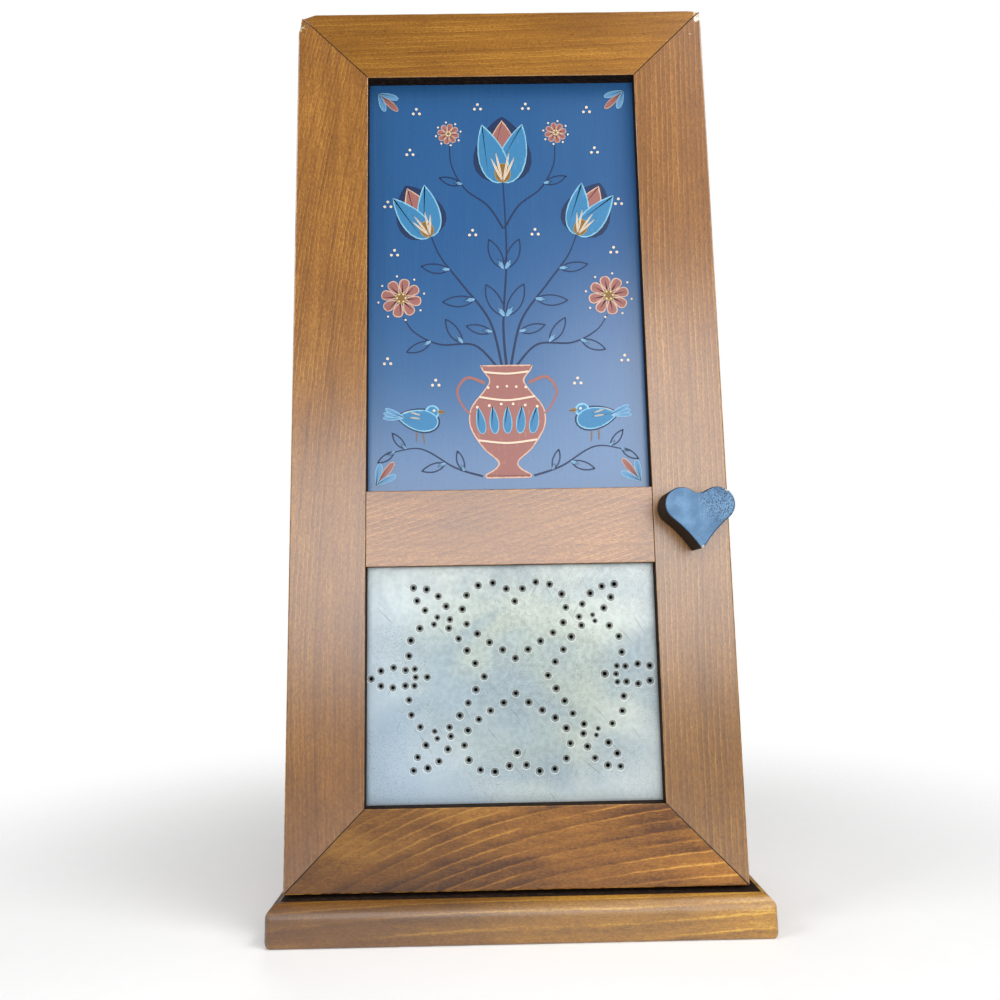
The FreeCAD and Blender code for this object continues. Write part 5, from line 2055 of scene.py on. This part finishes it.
@dataclass(frozen=True)
class SlottedScrew:
    """A screw with a straight slot, its head's face at the origin and facing +Z.

    Attributes:
        head: The head's radius.
        shank: The shank's radius.
        sink: How deep a countersunk head is.
        crown: How far a round head stands up.
        length: The length under the head.
    """

    head: float
    shank: float
    sink: float = 1.4 * MM
    crown: float = 0.0
    length: float = 4.0 * MM

    # The head's corners, and half the slot's width and a round head's flat top as shares of its radius.
    SIDES = 32
    GROOVE = 0.14
    TOP = 0.72

    def turned_body(self) -> BMesh:
        """Makes the screw without its slot.

        Returns:
            The screw, its head's face cut where the slot's sides will be.
        """
        screw = bmesh.new()
        bmesh.ops.create_circle(screw, cap_ends=True, segments=self.SIDES, radius=self.head)
        for side in (-1, 1):
            cheek = Side(Vector((side * self.head * self.GROOVE, 0, 0)), Vector((1, 0, 0)))
            cheek.cut(screw, [0.0])
        loop = [edge for edge in screw.edges if edge.is_boundary]
        levels = [(1.0, 0.0), (self.shank / self.head, -self.sink)]
        levels.append((self.shank / self.head, -self.sink - self.length))
        if self.crown:
            for vert in screw.verts:
                vert.co = (vert.co.x * self.TOP, vert.co.y * self.TOP, self.crown)
            levels = [(0.93, 0.55 * self.crown), (0.98, 0.25 * self.crown), *levels]
        for share, height in levels:
            fresh, loop = drawn_out(screw, loop)
            for vert in fresh:
                flat = vert.co.xy.normalized() * self.head * share
                vert.co = (flat.x, flat.y, height)
        bmesh.ops.contextual_create(screw, geom=loop)
        bmesh.ops.recalc_face_normals(screw, faces=screw.faces)
        return screw

    def add_to(self, mesh: BMesh, place: Vector, outward: Vector, turn: float) -> None:
        """Adds the screw to a mesh.

        Args:
            mesh: Where it goes.
            place: The middle of its seat.
            outward: The way its head faces.
            turn: How its slot is turned.
        """
        screw = self.turned_body()
        top = [face for face in screw.faces if face.normal.z > 0.9]
        slot = [face for face in top if abs(face.calc_center_median().x) < self.head * self.GROOVE / 2]
        sunk = points_of(bmesh.ops.extrude_face_region(screw, geom=slot)["geom"])
        bmesh.ops.translate(screw, verts=sunk, vec=(0, 0, -self.head * 0.22))
        bmesh.ops.delete(screw, geom=[face for face in slot if face.is_valid], context="FACES_KEEP_BOUNDARY")
        bmesh.ops.remove_doubles(screw, verts=screw.verts, dist=1e-7)
        bmesh.ops.recalc_face_normals(screw, faces=screw.faces)
        aim = Matrix.Translation(place) @ outward.to_track_quat("Z", "Y").to_matrix().to_4x4()
        aim = aim @ Matrix.Rotation(turn, 4, "Z")
        bmesh.ops.transform(screw, matrix=aim, verts=screw.verts)
        data = settled("screw", screw)
        mesh.from_mesh(data)
        bpy.data.meshes.remove(data)


@dataclass
class Fittings:
    """The hinges, catch, nails and screws."""

    def islands(self, node: str) -> list[tuple[Vector, Vector]]:
        """The box of each separate solid of a node.

        Args:
            node: The node's name.

        Returns:
            The lowest and highest corner of each solid.
        """
        mesh = welded(node)
        left = set(mesh.verts)
        boxes = []
        while left:
            reached = [left.pop()]
            island = list(reached)
            while reached:
                for edge in reached.pop().link_edges:
                    for vert in edge.verts:
                        if vert in left:
                            left.remove(vert)
                            reached.append(vert)
                            island.append(vert)
            axes = [[vert.co[axis] for vert in island] for axis in range(3)]
            boxes.append((Vector([min(axis) for axis in axes]), Vector([max(axis) for axis in axes])))
        mesh.free()
        return sorted(boxes, key=lambda box: tuple(round(value, 5) for value in box[0]))

    def screws(
        self, node: str, body: str, kind: SlottedScrew, outward: Vector, finish: Material, slot: str = "steel"
    ) -> None:
        """Puts slotted screws where a node's plain ones are.

        Args:
            node: The node that they stand for.
            body: The body they move with.
            kind: The screw.
            outward: The way their heads face.
            finish: Their metal.
            slot: The name of a material slot; not used.
        """
        chance = random.Random(len(node))
        mesh = bmesh.new()
        for low, high in self.islands(node):
            centre, half = (low + high) / 2, (high - low) / 2
            reach = abs(half.dot(outward))
            seat = centre + outward * (reach - kind.crown)
            kind.add_to(mesh, seat, outward, chance.uniform(0, math.pi))
        made_piece(node + "_slotted", mesh, [finish], body, [node])

    def build(self) -> None:
        """Makes the screws and gives the other fittings their finish."""
        brass, steel, iron = BRASS.material(), STEEL.material(), IRON.material()
        back, front, down = Vector((0, 1, 0)), Vector((0, -1, 0)), Vector((0, 0, -1))
        small = SlottedScrew(2.5 * MM, 1.3 * MM, 0.9 * MM, length=10 * MM)
        self.screws("case_hinge_screws", CASE, small, front, brass, "hinge_brass")
        self.screws("door_hinge_screws", DOOR, small, back, brass, "hinge_brass")
        self.screws("strike_screw", DOOR, SlottedScrew(2.7 * MM, 1.5 * MM, 0.8 * MM), back, steel)
        self.screws("catch_screws", CASE, SlottedScrew(2.7 * MM, 1.5 * MM), Vector((-1, 0, 0)), steel)
        self.screws("plinth_screws", CASE, SlottedScrew(4.1 * MM, 2.1 * MM, 2.4 * MM), down, steel)
        pan = SlottedScrew(3.8 * MM, 2.0 * MM, 0.05 * MM, 2.3 * MM, 12 * MM)
        self.screws("knob_screw", DOOR, pan, back, steel)
        catch = CATCH_BROWN.material()
        EasedBoard("catch_housing", CASE, catch, "catch_plastic", 0.5 * MM, pitch=20 * MM, wear=0.0).build()
        finishes = {
            "catch_magnet": MAGNET_GREY.material(),
            "catch_poles": steel,
            "strike_plate": steel,
            "case_nails": iron,
            "back_panel_nails": iron,
            "stop_nails": iron,
            "mitre_keys": StainedPine("stain_keys", Vector((0, 0, 0))).material(),
        }
        hinges = [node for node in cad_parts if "hinge" in node and not node.endswith("screws")]
        for node, finish in {**finishes, **dict.fromkeys(hinges, brass)}.items():
            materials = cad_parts[node].data.materials
            materials.clear()
            materials.append(finish)


@dataclass
class Studio:
    """The camera, the soft lights and the pale floor.

    Attributes:
        camera_place: Where the camera is.
        camera_turn: Its turn about each axis, in degrees.
        focal_pixels: Its focal length, in pixels of a frame of that many across.
        frame_pixels: The frame's width.
    """

    camera_place: Vector = field(default_factory=lambda: Vector((-13.55, -721.3, 263.2)) * MM)
    camera_turn: tuple[float, float, float] = (97.437, 1.026, -0.384)
    focal_pixels: float = 751.0
    frame_pixels: float = 1000.0

    def camera(self) -> None:
        """Sets up the camera as the photograph was taken."""
        data = bpy.data.cameras.new("camera")
        data.sensor_width = 36.0
        data.lens = self.focal_pixels / self.frame_pixels * data.sensor_width
        data.clip_start = 0.02
        camera = in_scene("camera", data)
        camera.location = self.camera_place
        camera.rotation_euler = [math.radians(angle) for angle in self.camera_turn]
        bpy.context.scene.camera = camera

    def softbox(self, name: str, place: Vector, target: Vector, size: Point, power: float) -> None:
        """Hangs one soft light.

        Args:
            name: The light's name.
            place: Where it is.
            target: What it faces.
            size: Its width and height.
            power: Its power in watts.
        """
        data = bpy.data.lights.new(name, "AREA")
        data.shape = "RECTANGLE"
        data.size, data.size_y = size
        data.energy = power
        light = in_scene(name, data)
        light.location = place
        light.rotation_euler = (place - target).to_track_quat("Z", "Y").to_euler()

    def sky(self) -> None:
        """Fills the room with even light, white behind the cabinet."""
        world = bpy.data.worlds.new("room")
        bpy.context.scene.world = world
        world.use_nodes = True
        nodes, links = world.node_tree.nodes, world.node_tree.links
        nodes.clear()
        output = nodes.new("ShaderNodeOutputWorld")
        seen, room = nodes.new("ShaderNodeBackground"), nodes.new("ShaderNodeBackground")
        seen.inputs[0].default_value = (1, 1, 1, 1)
        seen.inputs[1].default_value = 1.0
        room.inputs[0].default_value = (0.97, 0.99, 1.0, 1)
        room.inputs[1].default_value = 0.13
        path, mixer = nodes.new("ShaderNodeLightPath"), nodes.new("ShaderNodeMixShader")
        links.new(path.outputs["Is Camera Ray"], mixer.inputs[0])
        links.new(room.outputs[0], mixer.inputs[1])
        links.new(seen.outputs[0], mixer.inputs[2])
        links.new(mixer.outputs[0], output.inputs[0])

    def floor(self) -> None:
        """Lays the pale floor, which fades into the room at its edge."""
        mesh = bmesh.new()
        bmesh.ops.create_circle(mesh, cap_ends=True, segments=96, radius=2.4)
        data = settled("floor", mesh)
        graph = Graph("floor_white")
        point = graph.point()
        white = graph.mix(graph.noise(point, 60), shade(244, 244, 244), shade(248, 248, 248))
        graph.surface(white, 0.7, Emission_Color=(1.0, 1.0, 1.0, 1.0), Emission_Strength=0.08)
        inputs = {
            0: graph.length(point).span(0.2, 0.85),
            1: graph.shader.outputs[0],
            2: graph.node("BsdfTransparent").outputs[0],
        }
        graph.feed(graph.end.inputs[0], graph.node("MixShader", inputs).outputs[0])
        data.materials.append(graph.material)
        floor = in_scene("floor", data)

    def build(self) -> None:
        """Sets up the whole studio."""
        self.camera()
        self.sky()
        self.floor()
        bpy.context.scene.view_settings.view_transform = "Standard"
        middle = Vector((0, 0, 0.38))
        front = Vector((0, -1, 0))
        low_window, high_window = Vector((0.08, -1.0, 0.36)), Vector((0.36, -1.0, 0.74))
        self.softbox("window", low_window, low_window - front, (1.25, 0.5), 7.4)
        self.softbox("upper_window", high_window, high_window - front, (0.5, 0.28), 1.7)
        self.softbox("overhead", Vector((1.0, -0.8, 1.9)), Vector((0, -0.1, 0.4)), (0.8, 0.5), 15.0)
        self.softbox("right_side", Vector((1.5, -0.9, 1.3)), middle, (0.8, 0.8), 8.0)
        self.softbox("left_side", Vector((-1.5, -0.8, 1.4)), middle, (0.8, 0.8), 14.0)
        self.softbox("rear", Vector((-0.3, 1.6, 1.0)), middle, (1.2, 1.2), 9.0)


def main() -> None:
    """Builds the sub-assemblies in order."""
    logging.basicConfig(level=logging.INFO, format="%(name)s: %(message)s")
    Studio().build()
    DoorFrame().build()
    PaintedPanel().build()
    PunchedTin().build()
    HeartKnob().build()
    BaseBoard().build()
    CaseBoards().build()
    Fittings().build()


if __name__ == "__main__":
    main()
